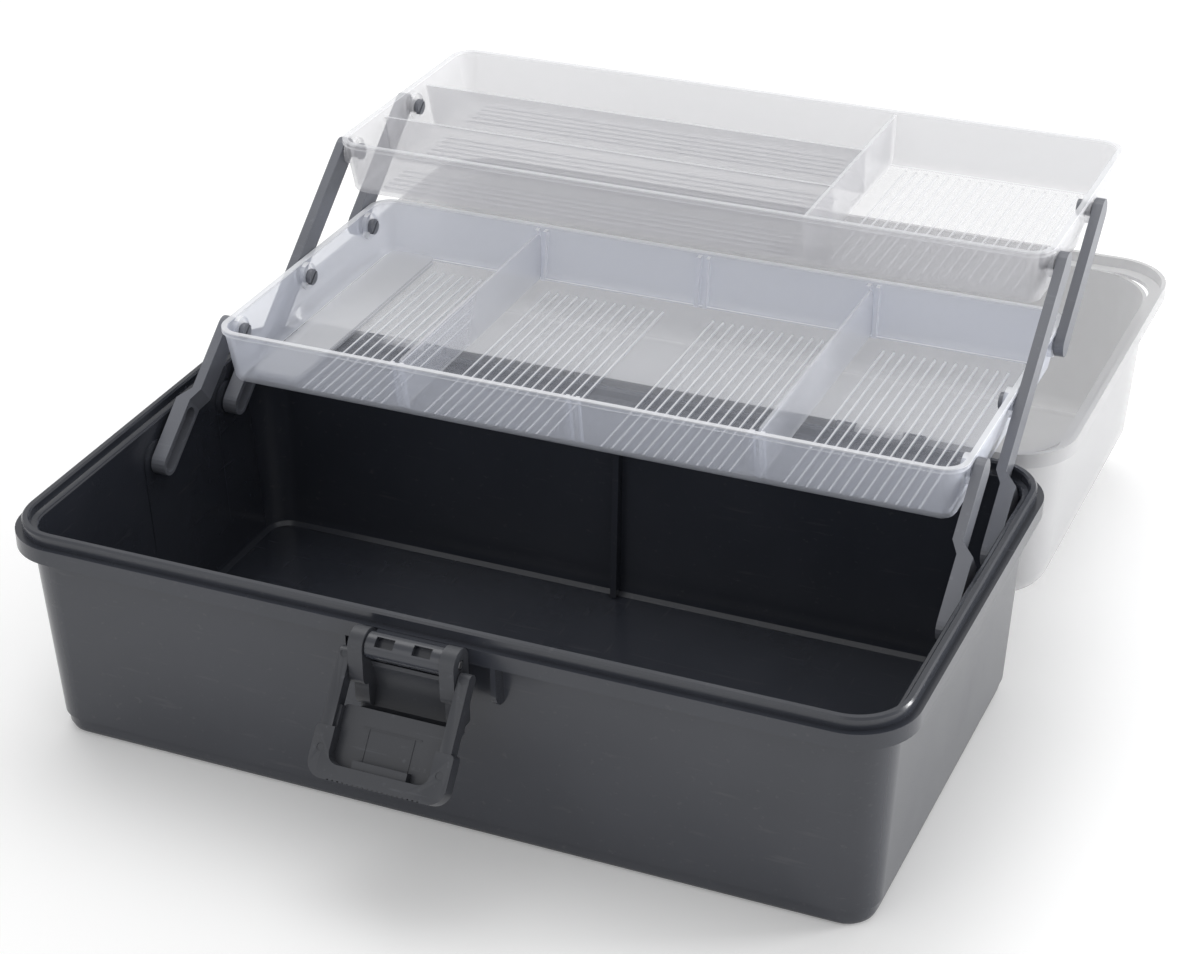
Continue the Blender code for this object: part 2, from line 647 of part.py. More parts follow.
def slot_ribs():
    """Pairs of upright ribs, front and rear, that hold a divider."""
    made = []
    bottom = LOWER_RIM_Z - TRAY_HEIGHT
    top = LOWER_RIM_Z - 1.2 * MM
    front = LOWER_Y0 + TRAY_RIM_WIDTH + TRAY_WALL / 2
    rear = LOWER_Y0 + LOWER_TRAY_Y - TRAY_RIM_WIDTH - TRAY_WALL / 2
    lean = TRAY_DRAFT
    reach = TRAY_WALL / 2 + SLOT_RIB_DEPTH
    front_rib = [(front + lean, bottom + TRAY_FLOOR / 2), (front + lean + reach, bottom + TRAY_FLOOR / 2)]
    front_rib += [(front + lean + reach, top - 2 * MM), (front + lean + reach - 1 * MM, top), (front, top)]
    rear_rib = [(front + rear - y, z) for y, z in front_rib]
    near = DIVIDER_THICK / 2 + DIVIDER_GAP
    for place in (-1, 0, 1):
        for hand in (-1, 1):
            x0, x1 = sorted((place * SLOT_PITCH + hand * near, place * SLOT_PITCH + hand * (near + SLOT_RIB)))
            made.append(tool(prism(front_rib, x0, x1)))
            made.append(tool(prism(rear_rib, x0, x1)))
    return made


def make_lower_tray():
    tray = new_object("lower_tray", loft(tray_rings(LOWER_TRAY_Y, LOWER_Y0, LOWER_RIM_Z)), TRAY_PLASTIC)
    bosses, holes = tray_bosses(LOWER_PIVOTS)
    combine(tray, bosses + slot_ribs(), "UNION")
    combine(tray, holes, "DIFFERENCE")
    set_on_axis(tray, LOWER_PIVOTS[1])
    return tray


def make_upper_tray():
    tray = new_object("upper_tray", loft(tray_rings(UPPER_TRAY_Y, UPPER_Y0, UPPER_RIM_Z)), TRAY_PLASTIC)
    bosses, holes = tray_bosses(UPPER_PIVOTS)
    floor = UPPER_RIM_Z - TRAY_HEIGHT + TRAY_FLOOR / 2
    top = UPPER_RIM_Z - 1.5 * MM
    y0 = UPPER_Y0 + TRAY_RIM_WIDTH + TRAY_WALL / 2
    y1 = UPPER_Y0 + UPPER_TRAY_Y - TRAY_RIM_WIDTH - TRAY_WALL / 2
    x0 = -TRAY_X / 2 + TRAY_RIM_WIDTH + TRAY_WALL / 2
    lean = TRAY_DRAFT
    half = LONG_WALL / 2
    cross = [(y0 + lean, floor), (y1 - lean, floor), (y1, top), (y0, top)]
    walls = [tool(prism(cross, UPPER_CROSS_X - half, UPPER_CROSS_X + half))]
    for share in (1, 2):
        y = UPPER_Y0 + UPPER_TRAY_Y * share / 3
        low = (x0 + lean, y - half, floor)
        walls.append(tool(block(low, (UPPER_CROSS_X, y + half, top - 2 * MM))))
    combine(tray, bosses + walls, "UNION")
    combine(tray, holes, "DIFFERENCE")
    set_on_axis(tray, UPPER_PIVOTS[0])
    return tray


def make_dividers():
    """Two dividers stand in the outer slots, and two spares lie flat at the left."""
    inset = TRAY_RIM_WIDTH + TRAY_DRAFT + TRAY_WALL + 0.6 * MM
    y0 = LOWER_Y0 + inset
    y1 = LOWER_Y0 + LOWER_TRAY_Y - inset
    floor = LOWER_RIM_Z - TRAY_HEIGHT + TRAY_FLOOR
    high = LOWER_RIM_Z - 1.6 * MM
    foot = floor + GAP
    corner = 4.5 * MM
    outline = [(y0 + corner, foot), (y1 - corner, foot), (y1, foot + corner), (y1, high), (y0, high)]
    outline.append((y0, foot + corner))
    made = []
    for name, place in (("divider_left", -1), ("divider_right", 1)):
        x = place * SLOT_PITCH
        plate = prism(outline, x - DIVIDER_THICK / 2, x + DIVIDER_THICK / 2)
        made.append(new_object(name, plate, TRAY_PLASTIC))
    width = high - foot
    x0 = -TRAY_X / 2 + TRAY_RIM_WIDTH + TRAY_DRAFT + TRAY_WALL + 6 * MM
    for number in (1, 2):
        low = foot + (number - 1) * (DIVIDER_THICK + GAP)
        corner_low = (x0, y0 + corner, low)
        corner_high = (x0 + width, y1 - corner, low + DIVIDER_THICK)
        made.append(new_object("spare_divider_%d" % number, block(corner_low, corner_high), TRAY_PLASTIC))
    return made


# ---------------------------------------------------------------- lid, drawn closed and then folded back
def lid_rings():
    x = RIM_X / 2
    y = RIM_Y / 2
    seat = LEDGE_Z + LID_SEAT_GAP
    band_top = seat + LID_BAND
    band_in = LEDGE_WIDTH - LID_SEAT_GAP - 0.6 * MM
    wall = LEDGE_WIDTH + RIDGE_WIDTH
    lean = wall + LID_DRAFT
    web = RIDGE_Z + LID_SEAT_GAP
    skin = LID_RADIUS - LID_WALL

    def ring(inset, z, radius):
        return corner_ring(x - inset, y - inset, radius, z)

    def dome(inset, top, fillet, radius, turns):
        """Rings of the rounded edge of the top, at the given angles."""
        made = []
        for turn in turns:
            away = fillet * (1 - math.cos(math.radians(turn)))
            drop = fillet * (1 - math.sin(math.radians(turn)))
            made.append(ring(inset + away, top - drop, radius - away * 0.6))
        return made

    outside = dome(lean, LID_TOP_Z, LID_TOP_FILLET, LID_RADIUS, (90, 60, 30, 0))
    outside += [ring(wall, band_top, RIM_RADIUS), ring(0.5 * MM, band_top, RIM_RADIUS)]
    outside += [ring(0, band_top - 0.5 * MM, RIM_RADIUS), ring(0, seat, RIM_RADIUS)]
    inside = [ring(band_in, seat, RIM_RADIUS - band_in), ring(band_in, web, RIM_RADIUS - band_in)]
    inside.append(ring(wall + LID_WALL, web, RIM_RADIUS - LID_WALL))
    inside += dome(lean + LID_WALL, LID_TOP_Z - LID_WALL, LID_TOP_FILLET - LID_WALL, skin, (0, 30, 60, 90))
    return outside + inside


def lid_catch():
    """Ledge on the front of the lid that the bail's hook pulls down on."""
    root = -(RIM_Y / 2 - LEDGE_WIDTH - RIDGE_WIDTH - LID_DRAFT / 2)
    low = CATCH_TOP - CATCH_HEIGHT
    outline = [(root, low - 14 * MM), (CATCH_TIP, low), (CATCH_TIP, CATCH_TOP), (root, CATCH_TOP)]
    return tool(prism(outline, -BARREL_X / 2, BARREL_X / 2))


def lid_knuckles():
    made = []
    seat = LEDGE_Z + LID_SEAT_GAP
    root = RIM_Y / 2 - 0.6 * MM
    outline = [(root, seat + 1.5 * MM), (HINGE_Y, HINGE_Z)]
    outline.append((HINGE_Y + 1 * MM, HINGE_Z + KNUCKLE_RADIUS - 0.2 * MM))
    outline.append((root, seat + LID_BAND - 0.4 * MM))
    for side in (1, -1):
        x0 = side * HINGE_X - LID_KNUCKLE / 2
        x1 = side * HINGE_X + LID_KNUCKLE / 2
        made.append(tool(rod((HINGE_Y, HINGE_Z), KNUCKLE_RADIUS, x0, x1)))
        made.append(tool(prism(outline, x0, x1)))
    return made


def handle_well():
    """The box-shaped well in the lid's top for the handle, and the pocket cut into it."""
    half_x = HANDLE_POCKET_X / 2
    half_y = HANDLE_POCKET_Y / 2
    floor = LID_TOP_Z - HANDLE_POCKET_DEPTH
    wall = HANDLE_WALL
    low = (-half_x - wall, -half_y - wall, floor - wall)
    well = block(low, (half_x + wall, half_y + wall, LID_TOP_Z - LID_WALL / 2))
    pocket = block((-half_x, -half_y, floor), (half_x, half_y, LID_TOP_Z + 1 * MM))
    return tool(well), tool(pocket)


def make_lid():
    lid = new_object("lid", loft(lid_rings()), LID_PLASTIC)
    well, pocket = handle_well()
    combine(lid, knuckle_reliefs(True), "DIFFERENCE")
    combine(lid, [well, lid_catch()] + lid_knuckles(), "UNION")
    reach = HANDLE_POCKET_X / 2 + HANDLE_STUD + GAP
    axle = tool(rod(HANDLE_AXIS, HANDLE_STUD_RADIUS + HOLE_GAP, -reach, reach))
    combine(lid, [pocket, axle] + hinge_bores(), "DIFFERENCE")
    set_on_axis(lid, (HINGE_Y, HINGE_Z), math.pi)
    return lid


def make_hinge_pins():
    reach = LID_KNUCKLE / 2 + BASE_KNUCKLE
    for name, side in (("lid_hinge_pin_right", 1), ("lid_hinge_pin_left", -1)):
        bm = rod((HINGE_Y, HINGE_Z), HINGE_PIN_RADIUS, side * HINGE_X - reach, side * HINGE_X + reach)
        pin = new_object(name, bm, PIN_STEEL)
        set_on_axis(pin, (HINGE_Y, HINGE_Z))


def make_handle():
    """Flat bail that lies in the lid's pocket, hung on two stub pins."""
    y, z = HANDLE_AXIS
    half_x = HANDLE_POCKET_X / 2 - HANDLE_GAP
    half = HANDLE_BAR / 2
    far = HANDLE_POCKET_Y / 2 - HANDLE_GAP - half
    bar = prism(slot_outline((y, z), (far, z), half), -half_x, half_x)
    handle = new_object("carry_handle", bar, ARM_PLASTIC)
    beyond = half + 1 * MM
    window_x = half_x - HANDLE_BAR
    window = block((-window_x, y - beyond, z - beyond), (window_x, far - half - 0.5 * MM, z + beyond))
    combine(handle, [tool(window)], "DIFFERENCE")
    reach = HANDLE_POCKET_X / 2 + HANDLE_STUD
    studs = pair(lambda side: rod((y, z), HANDLE_STUD_RADIUS, *side_range(side, half_x - 1 * MM, reach)))
    combine(handle, studs, "UNION")
    set_on_axis(handle, (y, z))
    handle.data.transform(Matrix.Rotation(math.pi, 4, "X"))
    handle.location = (0, 2 * HINGE_Y - y, 2 * HINGE_Z - z)
    return handle


# ---------------------------------------------------------------- latch
def arc_points(centre, radius, first, last, steps):
    turns = [math.radians(first + (last - first) * i / steps) for i in range(steps + 1)]
    return [(centre[0] + radius * math.cos(t), centre[1] + radius * math.sin(t)) for t in turns]


def make_latch_lever():
    """Pull lever: two ears on the barrel's pin and a hollowed web with a finger lip."""
    y = LATCH_Y
    z = LATCH_Z
    low = z - WEB_LENGTH
    ear = arc_points((y, z), EAR_RADIUS, 0, 180, 10)
    ear += [(y - EAR_RADIUS + 0.4 * MM, z - 8 * MM), (y - 4.2 * MM, z - 17 * MM), (y - 0.5 * MM, z - 19 * MM)]
    ear += [(y + 3.2 * MM, low + 3.4 * MM), (y + 5.4 * MM, low + 3.4 * MM), (y + 6.2 * MM, z - 14 * MM)]
    web_centre = (y - 12.6 * MM, z - 20 * MM)
    outer = arc_points(web_centre, WEB_RADIUS, 38, -42, 10)
    inner = arc_points(web_centre, WEB_RADIUS - WEB_THICK, -42, 38, 10)
    lip = [(y - 3.4 * MM, low), (y - 3.4 * MM, low + 1.7 * MM)]
    web_x = EAR_OUT - 0.4 * MM
    lever = new_object("latch_lever", prism(outer + lip + inner, -web_x, web_x), LATCH_PLASTIC)
    ears = pair(lambda side: prism(ear, *side_range(side, EAR_IN, EAR_OUT)))
    stud_end = EAR_OUT + BAIL_STUD
    root_x = EAR_OUT - 1 * MM
    studs = pair(lambda side: rod(BAIL_PIVOT, BAIL_STUD_RADIUS, *side_range(side, root_x, stud_end)))
    combine(lever, ears + studs, "UNION")
    reach = EAR_OUT + 1 * MM
    combine(lever, [tool(rod((y, z), LATCH_PIN_RADIUS + HOLE_GAP, -reach, reach))], "DIFFERENCE")
    set_on_axis(lever, (y, z))
    return lever


def make_latch_pin():
    pin = new_object("latch_pin", rod((LATCH_Y, LATCH_Z), LATCH_PIN_RADIUS, -EAR_OUT, EAR_OUT), PIN_STEEL)
    set_on_axis(pin, (LATCH_Y, LATCH_Z))


def mirrored_boxes(x0, x1, low, high):
    """Matching boxes at the right and left, between two (y, z) corners."""
    made = []
    for side in (1, -1):
        near, far = side_range(side, x0, x1)
        made.append(tool(block((near, *low), (far, *high))))
    return made


def make_latch_bail():
    """Hook frame, drawn hanging straight down: arms, a wider foot, a cover plate and a hook."""
    y, z = BAIL_PIVOT
    half = BAIL_DEPTH / 2
    inner = EAR_OUT + GAP
    outer = inner + BAIL_ARM
    foot_z = z - BAIL_LENGTH
    grip_z = foot_z + BAIL_GRIP
    rail_z = foot_z + BAIL_RAIL
    grip_in = inner - 1.5 * MM
    grip_out = outer + BAIL_SPREAD
    plate_y = y + half - 0.6 * MM
    plate_back = plate_y + PLATE_THICK
    plate_top = foot_z + 3 * MM + PLATE_LENGTH
    arm = slot_outline((y, z), (y, grip_z - 6 * MM), half)
    bail = new_object("latch_bail", prism(arm, inner, outer), LATCH_PLASTIC)
    rail_x = grip_out - 2.5 * MM
    plate_x = grip_in + 1 * MM
    hook = HOOK_X / 2
    solids = [tool(prism(arm, -outer, -inner))]
    grip_low = (y - half - 0.3 * MM, foot_z + 2.5 * MM)
    solids += mirrored_boxes(grip_in, grip_out, grip_low, (y + half + 0.3 * MM, grip_z))
    ledge_low = (y - 0.8 * MM, grip_z - 2 * MM)
    solids += mirrored_boxes(inner - 1.2 * MM, inner + 1 * MM, ledge_low, (plate_back, plate_top))
    solids.append(tool(block((-rail_x, y - half, foot_z), (rail_x, y + half, rail_z))))
    plate_far = (plate_x, plate_back - 0.2 * MM, plate_top + 0.3 * MM)
    solids.append(tool(block((-plate_x, plate_y, foot_z + 3 * MM), plate_far)))
    hook_far = (hook, plate_y + 0.6 * MM, rail_z + HOOK_HEIGHT)
    solids.append(tool(block((-hook, y - HOOK_OFFSET, rail_z - 1 * MM), hook_far)))
    combine(bail, solids, "UNION")
    hole_end = inner + BAIL_STUD + GAP
    radius = BAIL_STUD_RADIUS + HOLE_GAP
    holes = pair(lambda side: rod((y, z), radius, *side_range(side, inner - 2 * MM, hole_end)))
    combine(bail, holes, "DIFFERENCE")
    set_on_axis(bail, (y, z), -BAIL_ANGLE)
    return bail


# ---------------------------------------------------------------- the box
def main():
    clear_scene()
    make_base_bin()
    make_lid()
    make_hinge_pins()
    make_handle()
    make_latch_lever()
    make_latch_pin()
    make_latch_bail()
    make_lower_tray()
    make_upper_tray()
    make_dividers()
    for hand, side in (("right", 1), ("left", -1)):
        make_arm("front_arm_" + hand, FRONT_PIVOT, [ARM_REACH], side, True)
        make_arm("long_arm_" + hand, LONG_PIVOT, [ARM_REACH, 2 * ARM_REACH], side, True)
        make_arm("link_arm_" + hand, LOWER_PIVOTS[2], [ARM_REACH], side, False)


main()
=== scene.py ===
"""Open cantilever toolbox: dark bin, milky lid, clear trays on swing arms and a draw latch."""
import math

import bmesh
import bpy
from mathutils import Matrix, Vector


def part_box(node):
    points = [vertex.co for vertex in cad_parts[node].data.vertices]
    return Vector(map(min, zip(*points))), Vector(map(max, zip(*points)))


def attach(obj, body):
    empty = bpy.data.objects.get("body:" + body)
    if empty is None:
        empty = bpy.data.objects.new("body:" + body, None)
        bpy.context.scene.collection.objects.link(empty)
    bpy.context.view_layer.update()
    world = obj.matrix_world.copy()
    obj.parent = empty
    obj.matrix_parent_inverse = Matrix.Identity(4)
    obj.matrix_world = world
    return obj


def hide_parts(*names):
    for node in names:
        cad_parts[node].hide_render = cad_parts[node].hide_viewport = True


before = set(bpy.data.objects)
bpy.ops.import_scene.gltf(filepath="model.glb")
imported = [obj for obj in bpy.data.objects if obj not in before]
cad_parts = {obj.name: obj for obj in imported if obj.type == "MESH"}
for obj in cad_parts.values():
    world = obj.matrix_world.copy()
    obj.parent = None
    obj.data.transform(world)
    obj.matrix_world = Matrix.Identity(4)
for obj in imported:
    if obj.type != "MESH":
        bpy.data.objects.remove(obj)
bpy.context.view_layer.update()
MM = 0.001


# ---------------------------------------------------------------- camera, light and floor
# A long lens looks down on the box from its right front corner. The box stands on a white
# sweep, lit by a big soft light overhead and a bright panel at its right-hand side.
CAMERA_AZIMUTH = math.radians(23.83)
CAMERA_ELEVATION = math.radians(29.08)
CAMERA_ROLL = math.radians(-0.75)

turn = Matrix.Rotation(CAMERA_AZIMUTH, 3, "Z") @ Matrix.Rotation(math.pi / 2 - CAMERA_ELEVATION, 3, "X")
turn = turn @ Matrix.Rotation(CAMERA_ROLL, 3, "Z")
aim = Vector((15.96, 25.69, 105.92)) * MM
bpy.ops.object.camera_add(location=aim + turn @ Vector((0, 0, 1177.22 * MM)), rotation=turn.to_euler())
camera = bpy.context.object
camera.data.sensor_width = 36
camera.data.lens = 83.16
camera.data.clip_end = 20
bpy.context.scene.camera = camera
bpy.context.scene.view_settings.view_transform = "Standard"

world = bpy.data.worlds.new("studio")
world.use_nodes = True
world.node_tree.nodes["Background"].inputs["Color"].default_value = (1.0, 1.0, 1.0, 1)
world.node_tree.nodes["Background"].inputs["Strength"].default_value = 0.68
bpy.context.scene.world = world


def add_panel(name, place, aim_at, size, power):
    """A square soft light at a place, facing a point."""
    facing = (Vector(aim_at) - Vector(place)).to_track_quat("-Z", "Y").to_euler()
    bpy.ops.object.light_add(type="AREA", location=place, rotation=facing)
    panel = bpy.context.object
    panel.name = name
    panel.data.shape = "SQUARE"
    panel.data.size = size
    panel.data.energy = power


add_panel("overhead_panel", (-0.4, 0.6, 2.0), (0, 0.05, 0.1), 1.6, 16)
add_panel("front_panel", (-0.6, -2.2, 1.0), (0, 0, 0.1), 1.6, 6)
add_panel("right_panel", (1.5, 0.8, 0.27), (0.2, 0.0, 0.05), 0.5, 20)

bpy.ops.mesh.primitive_grid_add(x_subdivisions=1, y_subdivisions=24, size=12, location=(0, 0, 0))
sweep = bpy.context.object
sweep.name = "sweep"
bpy.ops.object.shade_smooth()
white = bpy.data.materials.new("white_sweep")
white.use_nodes = True
white.node_tree.nodes["Principled BSDF"].inputs["Base Color"].default_value = (0.93, 0.93, 0.93, 1)
white.node_tree.nodes["Principled BSDF"].inputs["Roughness"].default_value = 0.9
white.node_tree.nodes["Principled BSDF"].inputs["Emission Color"].default_value = (1, 1, 1, 1)
white.node_tree.nodes["Principled BSDF"].inputs["Emission Strength"].default_value = 0.12
sweep.data.materials.append(white)


# ---------------------------------------------------------------- bin
# The deep bin is one polypropylene moulding: leaning walls under a turned-down flange, with a
# sealing ridge, a raised floor panel, pads for the arms and a barrel for the latch.
FLANGE_X = 400 * MM
FLANGE_Y = 222 * MM
FLANGE_RADIUS = 26.5 * MM
SKIRT_Z = 93.9 * MM
LEDGE_Z = 101 * MM
ARM_PIVOT_Z = 84.2 * MM
ARM_PIVOTS_Y = (1 * MM, 65 * MM)


def take_hold(piece):
    """Select one piece alone and make it the active one."""
    bpy.ops.object.select_all(action="DESELECT")
    bpy.context.view_layer.objects.active = piece
    piece.select_set(True)


def start_edit(piece):
    take_hold(piece)
    bpy.ops.object.mode_set(mode="EDIT")
    bpy.ops.mesh.select_mode(type="FACE")
    bpy.ops.mesh.select_all(action="DESELECT")


def end_edit():
    bpy.ops.object.mode_set(mode="OBJECT")


def pick_faces(piece, test):
    """Select the faces whose middle and normal pass a test."""
    bpy.ops.mesh.select_mode(type="FACE")
    shape = bmesh.from_edit_mesh(piece.data)
    for face in shape.faces:
        face.select = bool(test(face.calc_center_median(), face.normal))
    bmesh.update_edit_mesh(piece.data)


def pick_edges(piece, test):
    """Select the edges whose ends pass a test."""
    bpy.ops.mesh.select_mode(type="EDGE")
    shape = bmesh.from_edit_mesh(piece.data)
    for edge in shape.edges:
        edge.select = bool(test(edge.verts[0].co, edge.verts[1].co))
    bmesh.update_edit_mesh(piece.data)


def pick_verts(piece, test):
    """Select the corners whose place passes a test."""
    bpy.ops.mesh.select_mode(type="VERT")
    shape = bmesh.from_edit_mesh(piece.data)
    for vert in shape.verts:
        vert.select = bool(test(vert.co))
    bmesh.update_edit_mesh(piece.data)


def add_block(name, low, high):
    """A block between two corners, its place and size in its mesh."""
    bpy.ops.object.select_all(action="DESELECT")
    low = Vector(low)
    high = Vector(high)
    bpy.ops.mesh.primitive_cube_add(size=1, location=(low + high) / 2, scale=high - low)
    piece = bpy.context.object
    piece.name = name
    bpy.ops.object.transform_apply()
    return piece


def add_round(name, start, end, radius, sides=40):
    """A round bar from one point to another, its place and size in its mesh."""
    bpy.ops.object.select_all(action="DESELECT")
    run = Vector(end) - Vector(start)
    facing = run.to_track_quat("Z", "Y").to_euler()
    middle = (Vector(start) + Vector(end)) / 2
    bpy.ops.mesh.primitive_cylinder_add(vertices=sides, radius=radius, depth=run.length,
                                        location=middle, rotation=facing)
    piece = bpy.context.object
    piece.name = name
    bpy.ops.object.transform_apply()
    return piece


def round_corners(piece, axis, radius, segments=10, keep=lambda a, b: True):
    """Bevel the edges that run along an axis."""
    start_edit(piece)

    def runs_along(a, b):
        run = (a - b).normalized()
        return abs(run[axis]) > 0.99 and keep(a, b)

    pick_edges(piece, runs_along)
    bpy.ops.mesh.bevel(offset=radius, offset_type="OFFSET", segments=segments, affect="EDGES")
    end_edit()


def step_cap(piece, facing, steps):
    """Draw the flat end of a block in and along by steps of (inwards, onwards)."""
    start_edit(piece)
    pick_faces(piece, lambda middle, normal: normal.z * facing > 0.99)
    for inward, onward in steps:
        if inward:
            bpy.ops.mesh.inset(thickness=inward, depth=onward, use_even_offset=True)
        else:
            bpy.ops.mesh.extrude_region_move(TRANSFORM_OT_translate={"value": (0, 0, onward * facing)})
    end_edit()


def cut_or_join(piece, others, operation):
    """Boolean the piece with others, which are used up."""
    bpy.ops.object.select_all(action="DESELECT")
    bpy.context.view_layer.objects.active = piece
    for other in others:
        step = piece.modifiers.new("fuse", "BOOLEAN")
        step.operation = operation
        step.solver = "EXACT"
        step.object = other
        bpy.ops.object.modifier_apply(modifier=step.name)
        bpy.data.objects.remove(other, do_unlink=True)
    return piece


def soften(piece, width, segments=2, angle=30):
    """Round the sharp edges a little and shade the rest smooth."""
    take_hold(piece)
    weld = piece.modifiers.new("weld", "WELD")
    weld.merge_threshold = 0.00001
    bevel = piece.modifiers.new("edge", "BEVEL")
    bevel.width = width
    bevel.segments = segments
    bevel.limit_method = "ANGLE"
    bevel.angle_limit = math.radians(angle)
    bevel.use_clamp_overlap = True
    bpy.ops.object.modifier_apply(modifier=weld.name)
    bpy.ops.object.modifier_apply(modifier=bevel.name)
    bpy.ops.object.shade_smooth_by_angle(angle=math.radians(40))
    level = piece.modifiers.new("level", "WEIGHTED_NORMAL")
    level.keep_sharp = True
    level.weight = 90
    bpy.ops.object.modifier_apply(modifier=level.name)


def mirror_over(piece):
    """A copy of a piece on the other side of the box."""
    take_hold(piece)
    bpy.ops.object.duplicate()
    twin = bpy.context.object
    bpy.ops.transform.mirror(constraint_axis=(True, False, False), center_override=(0, 0, 0))
    bpy.ops.object.transform_apply()
    start_edit(twin)
    bpy.ops.mesh.select_all(action="SELECT")
    bpy.ops.mesh.normals_make_consistent(inside=False)
    end_edit()
    return twin


bin_shell = add_block("bin_shell", (-FLANGE_X / 2, -FLANGE_Y / 2, SKIRT_Z),
                      (FLANGE_X / 2, FLANGE_Y / 2, LEDGE_Z))
round_corners(bin_shell, 2, FLANGE_RADIUS, 14)
# Underneath: the skirt's hollow, the leaning wall with its small foot, and the base.
BIN_OUTSIDE = [(2.4 * MM, 0), (0, -4.7 * MM), (4.3 * MM, 0), (5.2 * MM, 89.7 * MM),
               (1.5 * MM, 0.5 * MM), (0, 4.6 * MM), (1.2 * MM, 2.6 * MM), (2.6 * MM, 1.2 * MM)]
# On top: the ledge, the sealing ridge, the step inside it, and the wall down to the floor.
BIN_INSIDE = [(3.1 * MM, 0), (0, 4.3 * MM), (0.7 * MM, 0.9 * MM), (2.0 * MM, 0), (0.7 * MM, -0.9 * MM),
              (0.2 * MM, -3.2 * MM), (1.5 * MM, -0.6 * MM), (1.1 * MM, 0), (0.5 * MM, -0.6 * MM),
              (0.3 * MM, -4.0 * MM), (4.1 * MM, -88.4 * MM), (0.9 * MM, -3.7 * MM),
              (1.9 * MM, -1.8 * MM)]
step_cap(bin_shell, -1, BIN_OUTSIDE)
step_cap(bin_shell, 1, BIN_INSIDE)


def add_arm_pad(side, pivot_y):
    """Round-topped pad on the side wall, with a strip below it down to the floor."""
    face = side * 188.7 * MM
    back = side * 190.9 * MM
    low_x, high_x = sorted((face, back))
    pad = add_block("arm_pad", (low_x, pivot_y - 9.5 * MM, 14 * MM),
                    (high_x, pivot_y + 9.5 * MM, ARM_PIVOT_Z + 9.5 * MM))
    round_corners(pad, 0, 9.4 * MM, 12, lambda a, b: a.z > ARM_PIVOT_Z)
    start_edit(pad)
    pick_verts(pad, lambda place: place.z < 20 * MM)
    bpy.ops.transform.translate(value=(-side * 2.6 * MM, 0, 0))
    end_edit()
    return pad


def add_wall_rib(name, x, thick, foot, head):
    """An upright rib or plate across the box. foot and head are (root y, edge y, z)."""
    low_y, high_y = sorted(foot[:2])
    rib = add_block(name, (x - thick / 2, low_y, foot[2]), (x + thick / 2, high_y, head[2]))
    start_edit(rib)
    half_up = (foot[2] + head[2]) / 2
    for foot_y, head_y in zip(foot[:2], head[:2]):
        pick_verts(rib, lambda place: place.z > half_up and abs(place.y - foot_y) < 0.1 * MM)
        bpy.ops.transform.translate(value=(0, head_y - foot_y, 0))
    end_edit()
    return rib


bin_parts = [add_arm_pad(side, y) for side in (-1, 1) for y in ARM_PIVOTS_Y]
for inset, top in ((16 * MM, 4.0 * MM), (17.4 * MM, 4.4 * MM), (22 * MM, 4.6 * MM)):
    x = 183.5 * MM - inset
    y = 94.5 * MM - inset
    panel = add_block("floor_panel", (-x, -y, 1.6 * MM), (x, y, top))
    round_corners(panel, 2, 8 * MM, 8)
    bin_parts.append(panel)
RIB_TOP_Z = 96 * MM
LATCH_RIB_REACH = 7 * MM
foot = (97.6 * MM, 90.5 * MM, 3.7 * MM)
head = (102.4 * MM, 96.5 * MM, RIB_TOP_Z)
bin_parts.append(add_wall_rib("rear_rib", -2 * MM, 3 * MM, foot, head))
for x in (-7 * MM, 7 * MM):
    foot = (-98.6 * MM, -96.6 * MM, 26 * MM)
    head = (-102.4 * MM, -101 * MM + LATCH_RIB_REACH, RIB_TOP_Z)
    bin_parts.append(add_wall_rib("latch_rib", x, 2.2 * MM, foot, head))

LATCH_Y = -118.2 * MM
LATCH_Z = 97.6 * MM
LATCH_HALF = 16.5 * MM
barrel = add_round("latch_barrel", (-LATCH_HALF, LATCH_Y, LATCH_Z), (LATCH_HALF, LATCH_Y, LATCH_Z),
                   5.6 * MM, 48)
neck = add_block("latch_neck", (-LATCH_HALF, LATCH_Y, LATCH_Z - 2.4 * MM),
                 (LATCH_HALF, -110 * MM, LEDGE_Z - 0.3 * MM))
core_holes = []
for side in (-1, 1):
    hole = add_block("core_hole", (side * 8.2 * MM - 4 * MM, LATCH_Y - 2.2 * MM, LATCH_Z + 2.4 * MM),
                     (side * 8.2 * MM + 4 * MM, LATCH_Y + 2.2 * MM, LATCH_Z + 9 * MM))
    bpy.ops.transform.rotate(value=math.radians(-38), orient_axis="X",
                             center_override=(0, LATCH_Y, LATCH_Z))
    bpy.ops.object.transform_apply()
    core_holes.append(hole)
cut_or_join(barrel, [neck], "UNION")
cut_or_join(barrel, core_holes, "DIFFERENCE")
bin_parts.append(barrel)

for side in (-1, 1):
    fin = add_block("latch_fin", (side * 32 * MM, -110.6 * MM, 74 * MM),
                    (side * 34.2 * MM, -102.4 * MM, RIB_TOP_Z))
    round_corners(fin, 0, 7 * MM, 8, lambda a, b: a.z < 80 * MM and a.y < -106 * MM)
    bin_parts.append(fin)

